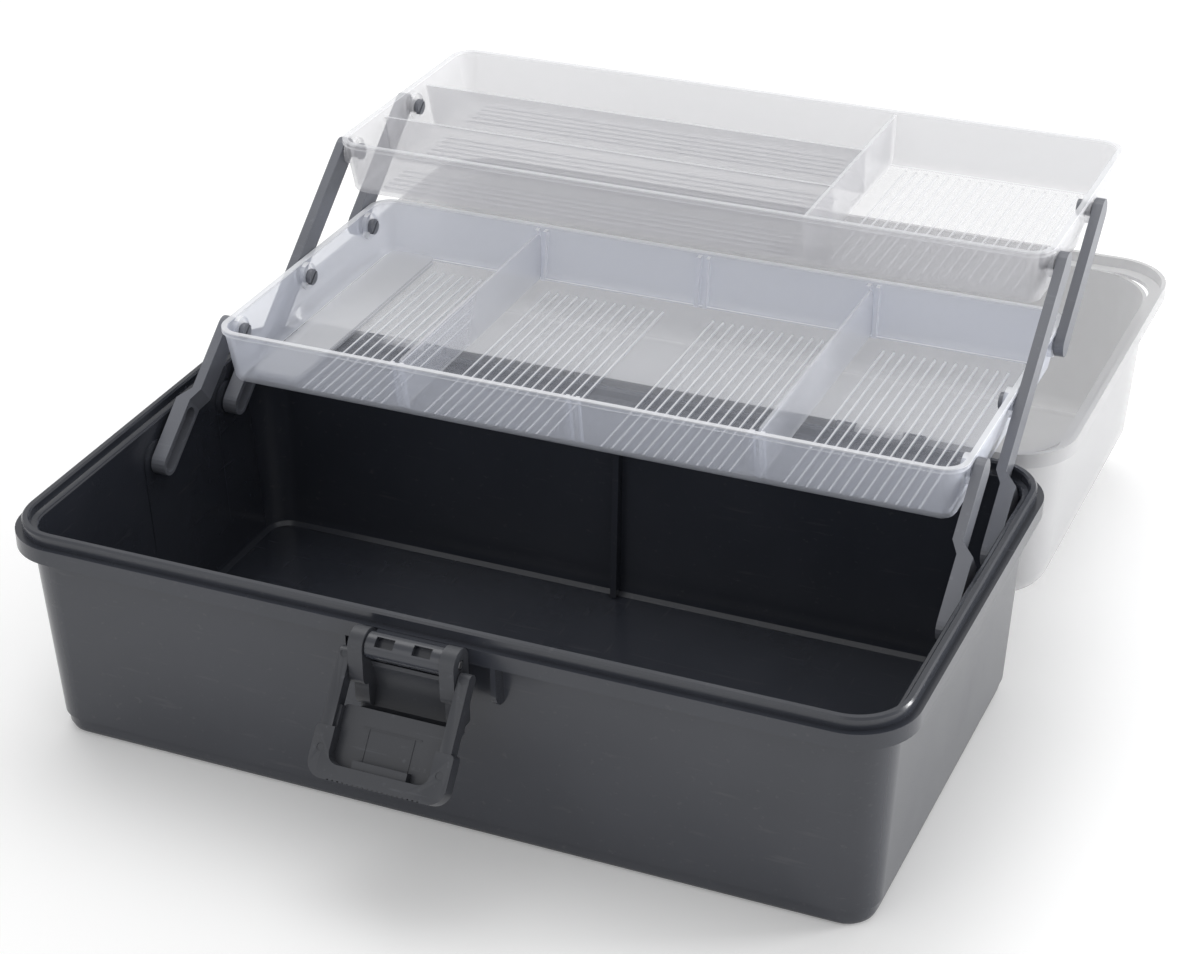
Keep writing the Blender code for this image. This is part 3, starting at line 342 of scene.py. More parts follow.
HINGE_Y = 113.5 * MM
HINGE_Z = 103 * MM
HINGE_X = 118 * MM
KNUCKLE_RADIUS = 3.8 * MM
RELIEF_RADIUS = 4.15 * MM
for side in (-1, 1):
    for hand in (-1, 1):
        x0 = side * HINGE_X + hand * 11.35 * MM
        x1 = side * HINGE_X + hand * 20.35 * MM
        knuckle = add_round("knuckle", (x0, HINGE_Y, HINGE_Z), (x1, HINGE_Y, HINGE_Z),
                            KNUCKLE_RADIUS, 32)
        root = add_block("knuckle_root", (min(x0, x1), 110 * MM, 95 * MM),
                         (max(x0, x1), 112.4 * MM, 102.6 * MM))
        bin_parts.append(cut_or_join(knuckle, [root], "UNION"))
    relief = add_round("relief", (side * HINGE_X - 11.35 * MM, HINGE_Y, HINGE_Z),
                       (side * HINGE_X + 11.35 * MM, HINGE_Y, HINGE_Z), RELIEF_RADIUS, 32)
    cut_or_join(bin_shell, [relief], "DIFFERENCE")
cut_or_join(bin_shell, bin_parts, "UNION")
soften(bin_shell, 0.45 * MM)


def add_socket(group, name, kind, way, value=None):
    socket = group.interface.new_socket(name=name, in_out=way, socket_type=kind)
    if value is not None:
        socket.default_value = value


def make_grain_group():
    """Fine moulded grain with a slow mottle: gives a roughness and a normal."""
    group = bpy.data.node_groups.new("moulded_grain", "ShaderNodeTree")
    add_socket(group, "Grain Scale", "NodeSocketFloat", "INPUT", 1800.0)
    add_socket(group, "Grain Depth", "NodeSocketFloat", "INPUT", 0.1)
    add_socket(group, "Roughness Low", "NodeSocketFloat", "INPUT", 0.3)
    add_socket(group, "Roughness High", "NodeSocketFloat", "INPUT", 0.4)
    add_socket(group, "Roughness", "NodeSocketFloat", "OUTPUT")
    add_socket(group, "Mottle", "NodeSocketFloat", "OUTPUT")
    add_socket(group, "Normal", "NodeSocketVector", "OUTPUT")
    nodes = group.nodes
    wires = group.links
    given = nodes.new("NodeGroupInput")
    result = nodes.new("NodeGroupOutput")
    place = nodes.new("ShaderNodeTexCoord")
    fine = nodes.new("ShaderNodeTexNoise")
    fine.inputs["Detail"].default_value = 3
    slow = nodes.new("ShaderNodeTexNoise")
    slow.inputs["Scale"].default_value = 14
    slow.inputs["Detail"].default_value = 5
    bump = nodes.new("ShaderNodeBump")
    bump.inputs["Distance"].default_value = 0.0002
    spread = nodes.new("ShaderNodeMapRange")
    wires.new(place.outputs["Object"], fine.inputs["Vector"])
    wires.new(place.outputs["Object"], slow.inputs["Vector"])
    wires.new(given.outputs["Grain Scale"], fine.inputs["Scale"])
    wires.new(given.outputs["Grain Depth"], bump.inputs["Strength"])
    wires.new(fine.outputs["Fac"], bump.inputs["Height"])
    wires.new(slow.outputs["Fac"], spread.inputs["Value"])
    spread.inputs["From Min"].default_value = 0.3
    spread.inputs["From Max"].default_value = 0.7
    wires.new(given.outputs["Roughness Low"], spread.inputs["To Min"])
    wires.new(given.outputs["Roughness High"], spread.inputs["To Max"])
    wires.new(spread.outputs["Result"], result.inputs["Roughness"])
    wires.new(slow.outputs["Fac"], result.inputs["Mottle"])
    wires.new(bump.outputs["Normal"], result.inputs["Normal"])
    return group


moulded_grain = make_grain_group()


def make_scuff_group():
    """Short pale rubs from handling, thickest where a slow noise is high: gives a mask."""
    group = bpy.data.node_groups.new("handling_scuffs", "ShaderNodeTree")
    add_socket(group, "Amount", "NodeSocketFloat", "INPUT", 0.5)
    add_socket(group, "Mask", "NodeSocketFloat", "OUTPUT")
    nodes = group.nodes
    wires = group.links
    given = nodes.new("NodeGroupInput")
    result = nodes.new("NodeGroupOutput")
    place = nodes.new("ShaderNodeTexCoord")
    masks = []
    for stretch, size in (((1.0, 14.0, 9.0), 30), ((9.0, 1.4, 12.0), 34)):
        lie = nodes.new("ShaderNodeMapping")
        lie.inputs["Rotation"].default_value = (0.3, 0.2, 0.5)
        lie.inputs["Scale"].default_value = stretch
        rub = nodes.new("ShaderNodeTexNoise")
        rub.inputs["Scale"].default_value = size
        rub.inputs["Detail"].default_value = 6
        limit = nodes.new("ShaderNodeMapRange")
        limit.inputs["From Min"].default_value = 0.64
        limit.inputs["From Max"].default_value = 0.74
        wires.new(place.outputs["Object"], lie.inputs["Vector"])
        wires.new(lie.outputs["Vector"], rub.inputs["Vector"])
        wires.new(rub.outputs["Fac"], limit.inputs["Value"])
        masks.append(limit.outputs["Result"])
    both = nodes.new("ShaderNodeMath")
    both.operation = "MAXIMUM"
    wires.new(masks[0], both.inputs[0])
    wires.new(masks[1], both.inputs[1])
    scaled = nodes.new("ShaderNodeMath")
    scaled.operation = "MULTIPLY"
    wires.new(both.outputs["Value"], scaled.inputs[0])
    wires.new(given.outputs["Amount"], scaled.inputs[1])
    wires.new(scaled.outputs["Value"], result.inputs["Mask"])
    return group


handling_scuffs = make_scuff_group()


def make_plastic(name, dark, light, rough, grain, specular=0.5, worn=(0.06, 0.062, 0.07)):
    """Solid-coloured moulded plastic: two close shades, a fine grain and a few pale rubs."""
    plastic = bpy.data.materials.new(name)
    plastic.use_nodes = True
    nodes = plastic.node_tree.nodes
    wires = plastic.node_tree.links
    shader = nodes["Principled BSDF"]
    shader.inputs["Specular IOR Level"].default_value = specular
    surface = nodes.new("ShaderNodeGroup")
    surface.node_tree = moulded_grain
    surface.inputs["Grain Depth"].default_value = grain
    surface.inputs["Roughness Low"].default_value = rough[0]
    surface.inputs["Roughness High"].default_value = rough[1]
    shade = nodes.new("ShaderNodeValToRGB")
    shade.color_ramp.elements[0].position = 0.35
    shade.color_ramp.elements[0].color = (*dark, 1)
    shade.color_ramp.elements[1].position = 0.65
    shade.color_ramp.elements[1].color = (*light, 1)
    rubs = nodes.new("ShaderNodeGroup")
    rubs.node_tree = handling_scuffs
    rubs.inputs["Amount"].default_value = 0.4
    rubbed = nodes.new("ShaderNodeMix")
    rubbed.data_type = "RGBA"
    rubbed.inputs["B"].default_value = (*worn, 1)
    wires.new(surface.outputs["Mottle"], shade.inputs["Fac"])
    wires.new(rubs.outputs["Mask"], rubbed.inputs["Factor"])
    wires.new(shade.outputs["Color"], rubbed.inputs["A"])
    wires.new(rubbed.outputs["Result"], shader.inputs["Base Color"])
    wires.new(surface.outputs["Roughness"], shader.inputs["Roughness"])
    wires.new(surface.outputs["Normal"], shader.inputs["Normal"])
    return plastic


bin_plastic = make_plastic("bin_plastic", dark=(0.026, 0.029, 0.038), light=(0.032, 0.035, 0.045),
                           rough=(0.19, 0.265), grain=0.05, specular=0.6)


def finish_piece(piece, material, body, slot, *nodes):
    """Give a piece its one material, and say what it rides on and stands for."""
    piece.data.materials.clear()
    piece.data.materials.append(material)
    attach(piece, body)
    if nodes:
        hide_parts(*nodes)


finish_piece(bin_shell, bin_plastic, "base", "bin_plastic", "base_bin")


# ---------------------------------------------------------------- lid
# The lid is a deep milky cover with big soft corners and a proud band round its rim. It is
# drawn shut and then folded right back about its hinge.
LID_TOP_Z = 186.6 * MM
LID_WALL_X = 193.5 * MM
LID_WALL_Y = 104.5 * MM
BAND_TOP_Z = 108.4 * MM
BAND_FOOT_Z = 101.4 * MM


def round_edge(radius, onward, steps=5):
    """Steps of (inwards, onwards) that turn a wall into a flat with a round edge."""
    made = []
    for i in range(steps):
        a = math.pi / 2 * i / steps
        b = math.pi / 2 * (i + 1) / steps
        made.append((radius * (math.cos(a) - math.cos(b)),
                     onward * radius * (math.sin(b) - math.sin(a))))
    return made


def is_band_web(middle, normal):
    """The band's flat underside, a step above its foot."""
    level = abs(middle.z - BAND_FOOT_Z - 5.2 * MM) < 1 * MM
    return normal.z < -0.99 and level and abs(middle.x) < 100 * MM and abs(middle.y) < 50 * MM


lid_shell = add_block("lid_shell", (-LID_WALL_X, -LID_WALL_Y, 106.8 * MM),
                      (LID_WALL_X, LID_WALL_Y, 107.8 * MM))
round_corners(lid_shell, 2, 33 * MM, 14)
step_cap(lid_shell, 1, [(5 * MM, LID_TOP_Z - 118.8 * MM)] + round_edge(11 * MM, 1, 6))
step_cap(lid_shell, -1,
         [(1.9 * MM, 0), (5 * MM, -(LID_TOP_Z - 117.8 * MM))] + round_edge(9.1 * MM, -1, 6))
lid_band = add_block("lid_band", (-FLANGE_X / 2, -FLANGE_Y / 2, BAND_FOOT_Z),
                     (FLANGE_X / 2, FLANGE_Y / 2, BAND_TOP_Z))
round_corners(lid_band, 2, FLANGE_RADIUS + 1.5 * MM, 14)
step_cap(lid_band, -1, [(2.1 * MM, 0), (0, -5.2 * MM), (5.9 * MM, 0)])
start_edit(lid_band)
pick_faces(lid_band, lambda middle, normal: normal.z > 0.99 and middle.z > BAND_TOP_Z - 1 * MM)
bpy.ops.mesh.inset(thickness=8.0 * MM)
bpy.ops.mesh.delete(type="FACE")
pick_faces(lid_band, is_band_web)
bpy.ops.mesh.delete(type="FACE")
bpy.ops.mesh.select_all(action="DESELECT")
bpy.ops.mesh.select_mode(type="EDGE")
bpy.ops.mesh.select_non_manifold()
bpy.ops.mesh.bridge_edge_loops()
bpy.ops.mesh.select_all(action="SELECT")
bpy.ops.mesh.normals_make_consistent(inside=False)
end_edit()
cut_or_join(lid_shell, [lid_band], "UNION")

POCKET_X = 136 * MM
POCKET_Y = 30 * MM
POCKET_FLOOR = LID_TOP_Z - 11.5 * MM
well = add_block("well", (-POCKET_X / 2 - 2 * MM, -POCKET_Y / 2 - 2 * MM, POCKET_FLOOR - 2 * MM),
                 (POCKET_X / 2 + 2 * MM, POCKET_Y / 2 + 2 * MM, LID_TOP_Z - 1 * MM))
round_corners(well, 2, 5 * MM, 6)
catch = add_block("catch", (-LATCH_HALF, -120 * MM, 127 * MM), (LATCH_HALF, -101.5 * MM, 131.2 * MM))
pocket = add_block("pocket", (-POCKET_X / 2, -POCKET_Y / 2, POCKET_FLOOR),
                   (POCKET_X / 2, POCKET_Y / 2, LID_TOP_Z + 4 * MM))
round_corners(pocket, 2, 3.5 * MM, 6)
lid_parts = [well, catch]
for side in (-1, 1):
    x0 = side * HINGE_X - 11 * MM
    x1 = side * HINGE_X + 11 * MM
    knuckle = add_round("lid_knuckle", (x0, HINGE_Y, HINGE_Z), (x1, HINGE_Y, HINGE_Z),
                        KNUCKLE_RADIUS, 32)
    root = add_block("lid_knuckle_root", (x0, 109.4 * MM, 103 * MM), (x1, 113.5 * MM, 106.6 * MM))
    lid_parts.append(cut_or_join(knuckle, [root], "UNION"))
    for hand in (-1, 1):
        a = side * HINGE_X + hand * 11 * MM
        b = side * HINGE_X + hand * 20.7 * MM
        relief = add_round("relief", (a, HINGE_Y, HINGE_Z), (b, HINGE_Y, HINGE_Z), RELIEF_RADIUS, 32)
        cut_or_join(lid_shell, [relief], "DIFFERENCE")
cut_or_join(lid_shell, lid_parts, "UNION")
cut_or_join(lid_shell, [pocket], "DIFFERENCE")
soften(lid_shell, 0.4 * MM)


def fold_back(piece):
    """Turn a piece of the shut lid half a turn about the hinge."""
    take_hold(piece)
    bpy.ops.transform.rotate(value=math.pi, orient_axis="X", center_override=(0, HINGE_Y, HINGE_Z))
    bpy.ops.object.transform_apply()


fold_back(lid_shell)


def make_cover_and_light_group():
    """Cover of a thin translucent moulding by face direction, with painted light: walls milkier as a
    painted light for the light they catch and scatter, level floors clearer where they take little;
    level faces above the floor and all above the rim take the edge shade and the most cover.
    """
    group = bpy.data.node_groups.new("moulding_cover_and_painted_light", "ShaderNodeTree")
    add_socket(group, "Floor Height", "NodeSocketFloat", "INPUT", -1.0)
    add_socket(group, "Rim Height", "NodeSocketFloat", "INPUT", 1.0)
    add_socket(group, "Floor Cover", "NodeSocketFloat", "INPUT", 0.1)
    add_socket(group, "Wall Cover", "NodeSocketFloat", "INPUT", 0.3)
    add_socket(group, "Edge Cover", "NodeSocketFloat", "INPUT", 0.6)
    add_socket(group, "Cover", "NodeSocketFloat", "OUTPUT")
    add_socket(group, "Edge", "NodeSocketFloat", "OUTPUT")
    nodes = group.nodes
    wires = group.links

    def add_maths(kind, first, second):
        step = nodes.new("ShaderNodeMath")
        step.operation = kind
        for socket, value in zip(step.inputs, (first, second)):
            if isinstance(value, (int, float)):
                socket.default_value = value
            else:
                wires.new(value, socket)
        return step.outputs["Value"]

    given = nodes.new("NodeGroupInput")
    result = nodes.new("NodeGroupOutput")
    place = nodes.new("ShaderNodeTexCoord")
    split = nodes.new("ShaderNodeSeparateXYZ")
    wires.new(place.outputs["Object"], split.inputs["Vector"])
    facing = nodes.new("ShaderNodeSeparateXYZ")
    wires.new(place.outputs["Normal"], facing.inputs["Vector"])
    # Painted light: upright faces get more cover than level floors, standing in for the light that walls
    # catch and scatter.
    level = add_maths("GREATER_THAN", add_maths("ABSOLUTE", facing.outputs["Z"], 0), 0.9)
    low = add_maths("LESS_THAN", split.outputs["Z"], given.outputs["Floor Height"])
    floor = add_maths("MULTIPLY", level, low)
    high = add_maths("GREATER_THAN", split.outputs["Z"], given.outputs["Rim Height"])
    rib_top = add_maths("MULTIPLY", level, add_maths("SUBTRACT", 1, low))
    edge = add_maths("MAXIMUM", high, rib_top)
    streak = nodes.new("ShaderNodeTexNoise")
    streak.inputs["Scale"].default_value = 5
    streak.inputs["Detail"].default_value = 1
    wires.new(place.outputs["Object"], streak.inputs["Vector"])
    cloud = add_maths("ADD", 0.9, add_maths("MULTIPLY", streak.outputs["Fac"], 0.2))
    to_floor = nodes.new("ShaderNodeMix")
    wires.new(floor, to_floor.inputs["Factor"])
    wires.new(given.outputs["Wall Cover"], to_floor.inputs["A"])
    wires.new(given.outputs["Floor Cover"], to_floor.inputs["B"])
    to_edge = nodes.new("ShaderNodeMix")
    wires.new(edge, to_edge.inputs["Factor"])
    wires.new(to_floor.outputs["Result"], to_edge.inputs["A"])
    wires.new(given.outputs["Edge Cover"], to_edge.inputs["B"])
    wires.new(add_maths("MULTIPLY", to_edge.outputs["Result"], cloud), result.inputs["Cover"])
    wires.new(edge, result.inputs["Edge"])
    return group


moulding_cover_and_painted_light = make_cover_and_light_group()


def make_clear_plastic(name, body, edge, covers, floor=-1.0, rim=1.0):
    """Thin translucent moulding: covers are those of its floor, walls and edges, set apart by face
    direction as painted light.
    """
    plastic = bpy.data.materials.new(name)
    plastic.use_nodes = True
    nodes = plastic.node_tree.nodes
    wires = plastic.node_tree.links
    shader = nodes["Principled BSDF"]
    surface = nodes.new("ShaderNodeGroup")
    surface.node_tree = moulded_grain
    surface.inputs["Grain Scale"].default_value = 300
    surface.inputs["Grain Depth"].default_value = 0.02
    surface.inputs["Roughness Low"].default_value = 0.29
    surface.inputs["Roughness High"].default_value = 0.37
    thin = nodes.new("ShaderNodeGroup")
    thin.node_tree = moulding_cover_and_painted_light
    thin.inputs["Floor Height"].default_value = floor
    thin.inputs["Rim Height"].default_value = rim
    for socket, cover in zip(("Floor Cover", "Wall Cover", "Edge Cover"), covers):
        thin.inputs[socket].default_value = cover
    shade = nodes.new("ShaderNodeValToRGB")
    shade.color_ramp.elements[0].color = (*body, 1)
    shade.color_ramp.elements[1].color = (*edge, 1)
    wires.new(thin.outputs["Edge"], shade.inputs["Fac"])
    wires.new(shade.outputs["Color"], shader.inputs["Base Color"])
    wires.new(thin.outputs["Cover"], shader.inputs["Alpha"])
    wires.new(surface.outputs["Roughness"], shader.inputs["Roughness"])
    wires.new(surface.outputs["Normal"], shader.inputs["Normal"])
    return plastic


lid_plastic = make_clear_plastic("lid_plastic", (0.53, 0.53, 0.54), (0.62, 0.62, 0.63),
                                 covers=(0.54, 0.54, 0.62))
finish_piece(lid_shell, lid_plastic, "lid", "lid_plastic", "lid")


# ---------------------------------------------------------------- trays
# Both trays are clear mouldings with a small rolled rim, soft floor edges, bosses for the arm
# studs and floors ribbed to stop small parts sliding.
TRAY_X = 354.4 * MM
TRAY_DEEP = 27.6 * MM
BOSS_X = 177.6 * MM
LOWER_DEPTH = 166 * MM
LOWER_PIVOTS_Y = (56.555 * MM, 120.555 * MM, 184.555 * MM)
LOWER_PIVOT_Z = 127.604 * MM
UPPER_DEPTH = 140.7 * MM
UPPER_PIVOTS_Y = (176.11 * MM, 240.11 * MM)
UPPER_PIVOT_Z = 171.008 * MM


def add_tray(name, box, depth):
    low, high = box
    rim = high.z
    tray = add_block(name, (-TRAY_X / 2, low.y, rim - 2.4 * MM), (TRAY_X / 2, low.y + depth, rim))
    round_corners(tray, 2, 11.5 * MM, 10)
    step_cap(tray, -1, [(1.2 * MM, 0), (3.4 * MM, TRAY_DEEP - 6.4 * MM)] + round_edge(4 * MM, 1, 4))
    step_cap(tray, 1, [(2.6 * MM, 0), (3.4 * MM, -(TRAY_DEEP - 5.6 * MM))] + round_edge(4 * MM, -1, 4))
    return tray


def add_boss(side, y, z):
    x0 = side * (BOSS_X - 5.6 * MM)
    x1 = side * (BOSS_X - 0.8 * MM)
    boss = add_round("boss", (x0, y, z), (x1, y, z), 6.6 * MM, 32)
    bore = add_round("bore", (side * (BOSS_X - 7 * MM), y, z), (side * BOSS_X, y, z), 3.5 * MM, 32)
    return boss, bore


def add_floor_ribs(name, across, span, gap, floor, along):
    """Low straight ribs side by side: across and span are (start, end) in plan."""
    count = int((across[1] - across[0]) / gap) + 1
    ribs = []
    for i in range(count):
        at = across[0] + i * gap
        low = (at - 0.5 * MM, span[0], floor - 0.5 * MM)
        high = (at + 0.5 * MM, span[1], floor + 0.9 * MM)
        if along == "X":
            low = (span[0], at - 0.5 * MM, floor - 0.5 * MM)
            high = (span[1], at + 0.5 * MM, floor + 0.9 * MM)
        ribs.append(add_block(name, low, high))
    bpy.ops.object.select_all(action="DESELECT")
    for rib in ribs:
        rib.select_set(True)
    bpy.context.view_layer.objects.active = ribs[0]
    bpy.ops.object.join()
    return bpy.context.object


lower_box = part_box("lower_tray")
lower_floor = lower_box[1].z - TRAY_DEEP + 1.6 * MM
lower_front = lower_box[0].y
lower_rear = lower_box[1].y
lower_tray = add_tray("lower_tray_shell", lower_box, LOWER_DEPTH)
lower_parts = []
lower_bores = []
for pivot_y in LOWER_PIVOTS_Y:
    for side in (-1, 1):
        boss, bore = add_boss(side, pivot_y, LOWER_PIVOT_Z)
        lower_parts.append(boss)
        lower_bores.append(bore)
DIVIDERS_X = 85.5 * MM
for place in (-1, 0, 1):
    for hand in (-1, 1):
        x = place * DIVIDERS_X + hand * 2.3 * MM
        for wall_y, inward in ((lower_front, 1), (lower_rear, -1)):
            foot = (wall_y + inward * 6.2 * MM, wall_y + inward * 10 * MM, lower_floor - 0.6 * MM)
            head = (wall_y + inward * 2.0 * MM, wall_y + inward * 6 * MM, lower_box[1].z - 1.4 * MM)
            lower_parts.append(add_wall_rib("slot_rib", x, 2 * MM, foot, head))
cut_or_join(lower_tray, lower_parts, "UNION")
cut_or_join(lower_tray, lower_bores, "DIFFERENCE")
for start, end in ((-136, -96), (-74, -12), (12, 74), (97, 159)):
    ribs = add_floor_ribs("floor_rib", (start * MM, end * MM),
                          (lower_front + 7 * MM, lower_rear - 22 * MM),
                          5.0 * MM, lower_floor, "Y")
    cut_or_join(lower_tray, [ribs], "UNION")
soften(lower_tray, 0.25 * MM)

# Painted light: the lower tray's body is brightened and tinted blue, and its wall cover raised, to stand
# in for the light its front wall catches and the blue of shade.
LOWER_TRAY_LIT_BODY = (0.82, 0.85, 0.94)
TRAY_EDGE = (0.86, 0.87, 0.90)
lower_lit_plastic = make_clear_plastic("lower_tray_lit_plastic", LOWER_TRAY_LIT_BODY, TRAY_EDGE, covers=(0.12, 0.41, 0.7),
                                   floor=lower_floor + 0.3 * MM, rim=lower_box[1].z - 0.6 * MM)
finish_piece(lower_tray, lower_lit_plastic, "lower_tray", "tray_plastic", "lower_tray")

upper_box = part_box("upper_tray")
upper_floor = upper_box[1].z - TRAY_DEEP + 1.6 * MM
upper_front = upper_box[0].y
upper_rear = upper_box[1].y
upper_tray = add_tray("upper_tray_shell", upper_box, UPPER_DEPTH)
upper_parts = []
upper_bores = []
for pivot_y in UPPER_PIVOTS_Y:
    for side in (-1, 1):
        boss, bore = add_boss(side, pivot_y, UPPER_PIVOT_Z)
        upper_parts.append(boss)
        upper_bores.append(bore)
CROSS_X = 62 * MM
foot = (upper_front + 6.4 * MM, upper_rear - 6.4 * MM, upper_floor - 0.6 * MM)
head = (upper_front + 2 * MM, upper_rear - 2 * MM, upper_box[1].z - 1.5 * MM)
upper_parts.append(add_wall_rib("cross_wall", CROSS_X, 1.5 * MM, foot, head))
for share in (1, 2):
    y = upper_front + UPPER_DEPTH * share / 3
    long_wall = add_block("long_wall", (-TRAY_X / 2 + 6.4 * MM, y - 0.75 * MM, upper_floor - 0.6 * MM),
                          (CROSS_X, y + 0.75 * MM, upper_box[1].z - 3.5 * MM))
    start_edit(long_wall)
    pick_verts(long_wall, lambda place: place.x < 0 and place.z > upper_floor + 5 * MM)
    bpy.ops.transform.translate(value=(-4.2 * MM, 0, 0))
    end_edit()
    upper_parts.append(long_wall)
cut_or_join(upper_tray, upper_parts, "UNION")
cut_or_join(upper_tray, upper_bores, "DIFFERENCE")
UPPER_RIB_GAP = 5.4 * MM
ribs = add_floor_ribs("floor_rib", (72 * MM, 160 * MM), (upper_front + 14 * MM, upper_rear - 14 * MM),
                      UPPER_RIB_GAP, upper_floor, "Y")
cut_or_join(upper_tray, [ribs], "UNION")
for share in (0, 1, 2):
    y0 = upper_front + UPPER_DEPTH * share / 3
    ribs = add_floor_ribs("floor_rib", (y0 + 13 * MM, y0 + 36 * MM), (-158 * MM, 52 * MM),
                          UPPER_RIB_GAP, upper_floor, "X")
    cut_or_join(upper_tray, [ribs], "UNION")
soften(upper_tray, 0.25 * MM)
# Painted shade: the upper tray is the same plastic, given a darker body and thinner covers to hold back
# the strong light that falls on it.
upper_shaded_plastic = make_clear_plastic("upper_tray_shaded_plastic", (0.69, 0.69, 0.715), TRAY_EDGE,
                                   covers=(0.26, 0.34, 0.45), floor=upper_floor + 0.3 * MM,
                                   rim=upper_box[1].z - 0.6 * MM)
finish_piece(upper_tray, upper_shaded_plastic, "upper_tray", "tray_plastic", "upper_tray")


# ---------------------------------------------------------------- dividers
# Thin clear plates: two stand in the lower tray's slots and two spares lie flat at its left.
divider_plastic = make_clear_plastic("divider_plastic", (0.72, 0.74, 0.80), TRAY_EDGE,
                                     covers=(0.3, 0.3, 0.3))
for node, body in (("divider_left", "left_divider"), ("divider_right", "right_divider"),
                   ("spare_divider_1", "lower_tray"), ("spare_divider_2", "lower_tray")):
    low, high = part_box(node)
    plate = add_block(node + "_plate", low, high)
    flat_axis = 0 if high.x - low.x < 3 * MM else 2
    round_corners(plate, flat_axis, 4 * MM, 6)
    soften(plate, 0.3 * MM)
    finish_piece(plate, divider_plastic, body, "tray_plastic", node)


# ---------------------------------------------------------------- latch lever
# The pull lever turns on the bin's barrel by two thick ears. A thin hollowed web joins them and
# ends in a finger lip, and a stud on each ear carries the bail.
EAR_IN = 16.85 * MM
EAR_OUT = 23.25 * MM
BAIL_Y = -119.8 * MM
BAIL_Z = 91.6 * MM
WEB_Y = LATCH_Y - 12.6 * MM
WEB_Z = LATCH_Z - 20 * MM


def add_ear():
    """Rounded ear with a body that tapers down to the foot of the web."""
    ear = add_round("ear", (EAR_IN, LATCH_Y, LATCH_Z), (EAR_OUT, LATCH_Y, LATCH_Z), 6.8 * MM, 48)
    body = add_block("ear_body", (EAR_IN, LATCH_Y - 6.7 * MM, LATCH_Z - 17 * MM),
                     (EAR_OUT, LATCH_Y + 6.5 * MM, LATCH_Z))
    round_corners(body, 0, 4.5 * MM, 6, lambda a, b: a.z < LATCH_Z - 10 * MM and a.y < LATCH_Y)
    tail = add_block("ear_tail", (EAR_IN, LATCH_Y - 2.6 * MM, LATCH_Z - 30 * MM),
                     (EAR_OUT, LATCH_Y + 6.2 * MM, LATCH_Z - 12 * MM))
    round_corners(tail, 0, 6 * MM, 6, lambda a, b: a.z < LATCH_Z - 20 * MM and a.y < LATCH_Y)
    return cut_or_join(ear, [body, tail], "UNION")


latch_lever = add_round("latch_lever_web", (-EAR_OUT + 0.4 * MM, WEB_Y, WEB_Z),
                        (EAR_OUT - 0.4 * MM, WEB_Y, WEB_Z), 18.5 * MM, 96)
hollow = add_round("hollow", (-EAR_OUT, WEB_Y, WEB_Z), (EAR_OUT, WEB_Y, WEB_Z), 16.5 * MM, 96)
cut_or_join(latch_lever, [hollow], "DIFFERENCE")
arc = add_block("arc", (-EAR_OUT, WEB_Y + 13.4 * MM, LATCH_Z - 32.6 * MM),
                (EAR_OUT, -111.2 * MM, LATCH_Z - 8.4 * MM))
cut_or_join(latch_lever, [arc], "INTERSECT")
lip = add_block("lip", (-EAR_OUT + 0.5 * MM, LATCH_Y - 3.4 * MM, LATCH_Z - 33.4 * MM),
                (EAR_OUT - 0.5 * MM, -116.4 * MM, LATCH_Z - 31.7 * MM))
ear = add_ear()
studs = [add_round("bail_stud", (side * (EAR_OUT - 1 * MM), BAIL_Y, BAIL_Z),
                   (side * (EAR_OUT + 3.2 * MM), BAIL_Y, BAIL_Z), 1.9 * MM, 24)
         for side in (-1, 1)]
cut_or_join(latch_lever, [lip, mirror_over(ear), ear] + studs, "UNION")
pin_hole = add_round("pin_hole", (-25 * MM, LATCH_Y, LATCH_Z), (25 * MM, LATCH_Y, LATCH_Z), 2.1 * MM, 24)
cut_or_join(latch_lever, [pin_hole], "DIFFERENCE")
soften(latch_lever, 0.5 * MM, 3)

latch_plastic = make_plastic("latch_plastic", dark=(0.030, 0.032, 0.039), light=(0.040, 0.043, 0.051),
                             rough=(0.36, 0.46), grain=0.12, worn=(0.09, 0.095, 0.11))
finish_piece(latch_lever, latch_plastic, "lever", "latch_plastic", "latch_lever")


# ---------------------------------------------------------------- latch bail
# A stirrup-shaped frame hangs from the lever. Its foot is wider than its arms, with a thin
# cover plate behind, a hook tab above the foot rail and a finger grip moulded below it.
ARM_IN = 23.6 * MM
ARM_OUT = 28.6 * MM
FOOT_Z = BAIL_Z - 50 * MM
GRIP_Z = FOOT_Z + 21 * MM
RAIL_Z = FOOT_Z + 6.5 * MM
PLATE_Y = BAIL_Y + 2.6 * MM

latch_bail = add_block("latch_bail_frame", (-30.2 * MM, BAIL_Y - 3.5 * MM, FOOT_Z),
                       (30.2 * MM, BAIL_Y + 3.5 * MM, GRIP_Z))
round_corners(latch_bail, 1, 7 * MM, 8, lambda a, b: a.z < FOOT_Z + 1 * MM)
round_corners(latch_bail, 1, 1.6 * MM, 2, lambda a, b: a.z > GRIP_Z - 1 * MM)
window = add_block("window", (-22.1 * MM, BAIL_Y - 6 * MM, RAIL_Z),
                   (22.1 * MM, BAIL_Y + 6 * MM, GRIP_Z + 9 * MM))
round_corners(window, 1, 4.6 * MM, 8, lambda a, b: a.z < RAIL_Z + 1 * MM)
cut_or_join(latch_bail, [window], "DIFFERENCE")
arm = add_block("bail_arm", (ARM_IN, BAIL_Y - 3.2 * MM, GRIP_Z - 6 * MM),
                (ARM_OUT, BAIL_Y + 3.2 * MM, BAIL_Z + 3.2 * MM))
round_corners(arm, 0, 3.1 * MM, 6, lambda a, b: a.z > BAIL_Z)
plate = add_block("plate", (-23.1 * MM, PLATE_Y, FOOT_Z + 3 * MM),
                  (23.1 * MM, PLATE_Y + 1.8 * MM, FOOT_Z + 31 * MM))
round_corners(plate, 1, 2 * MM, 4, lambda a, b: a.z > GRIP_Z)
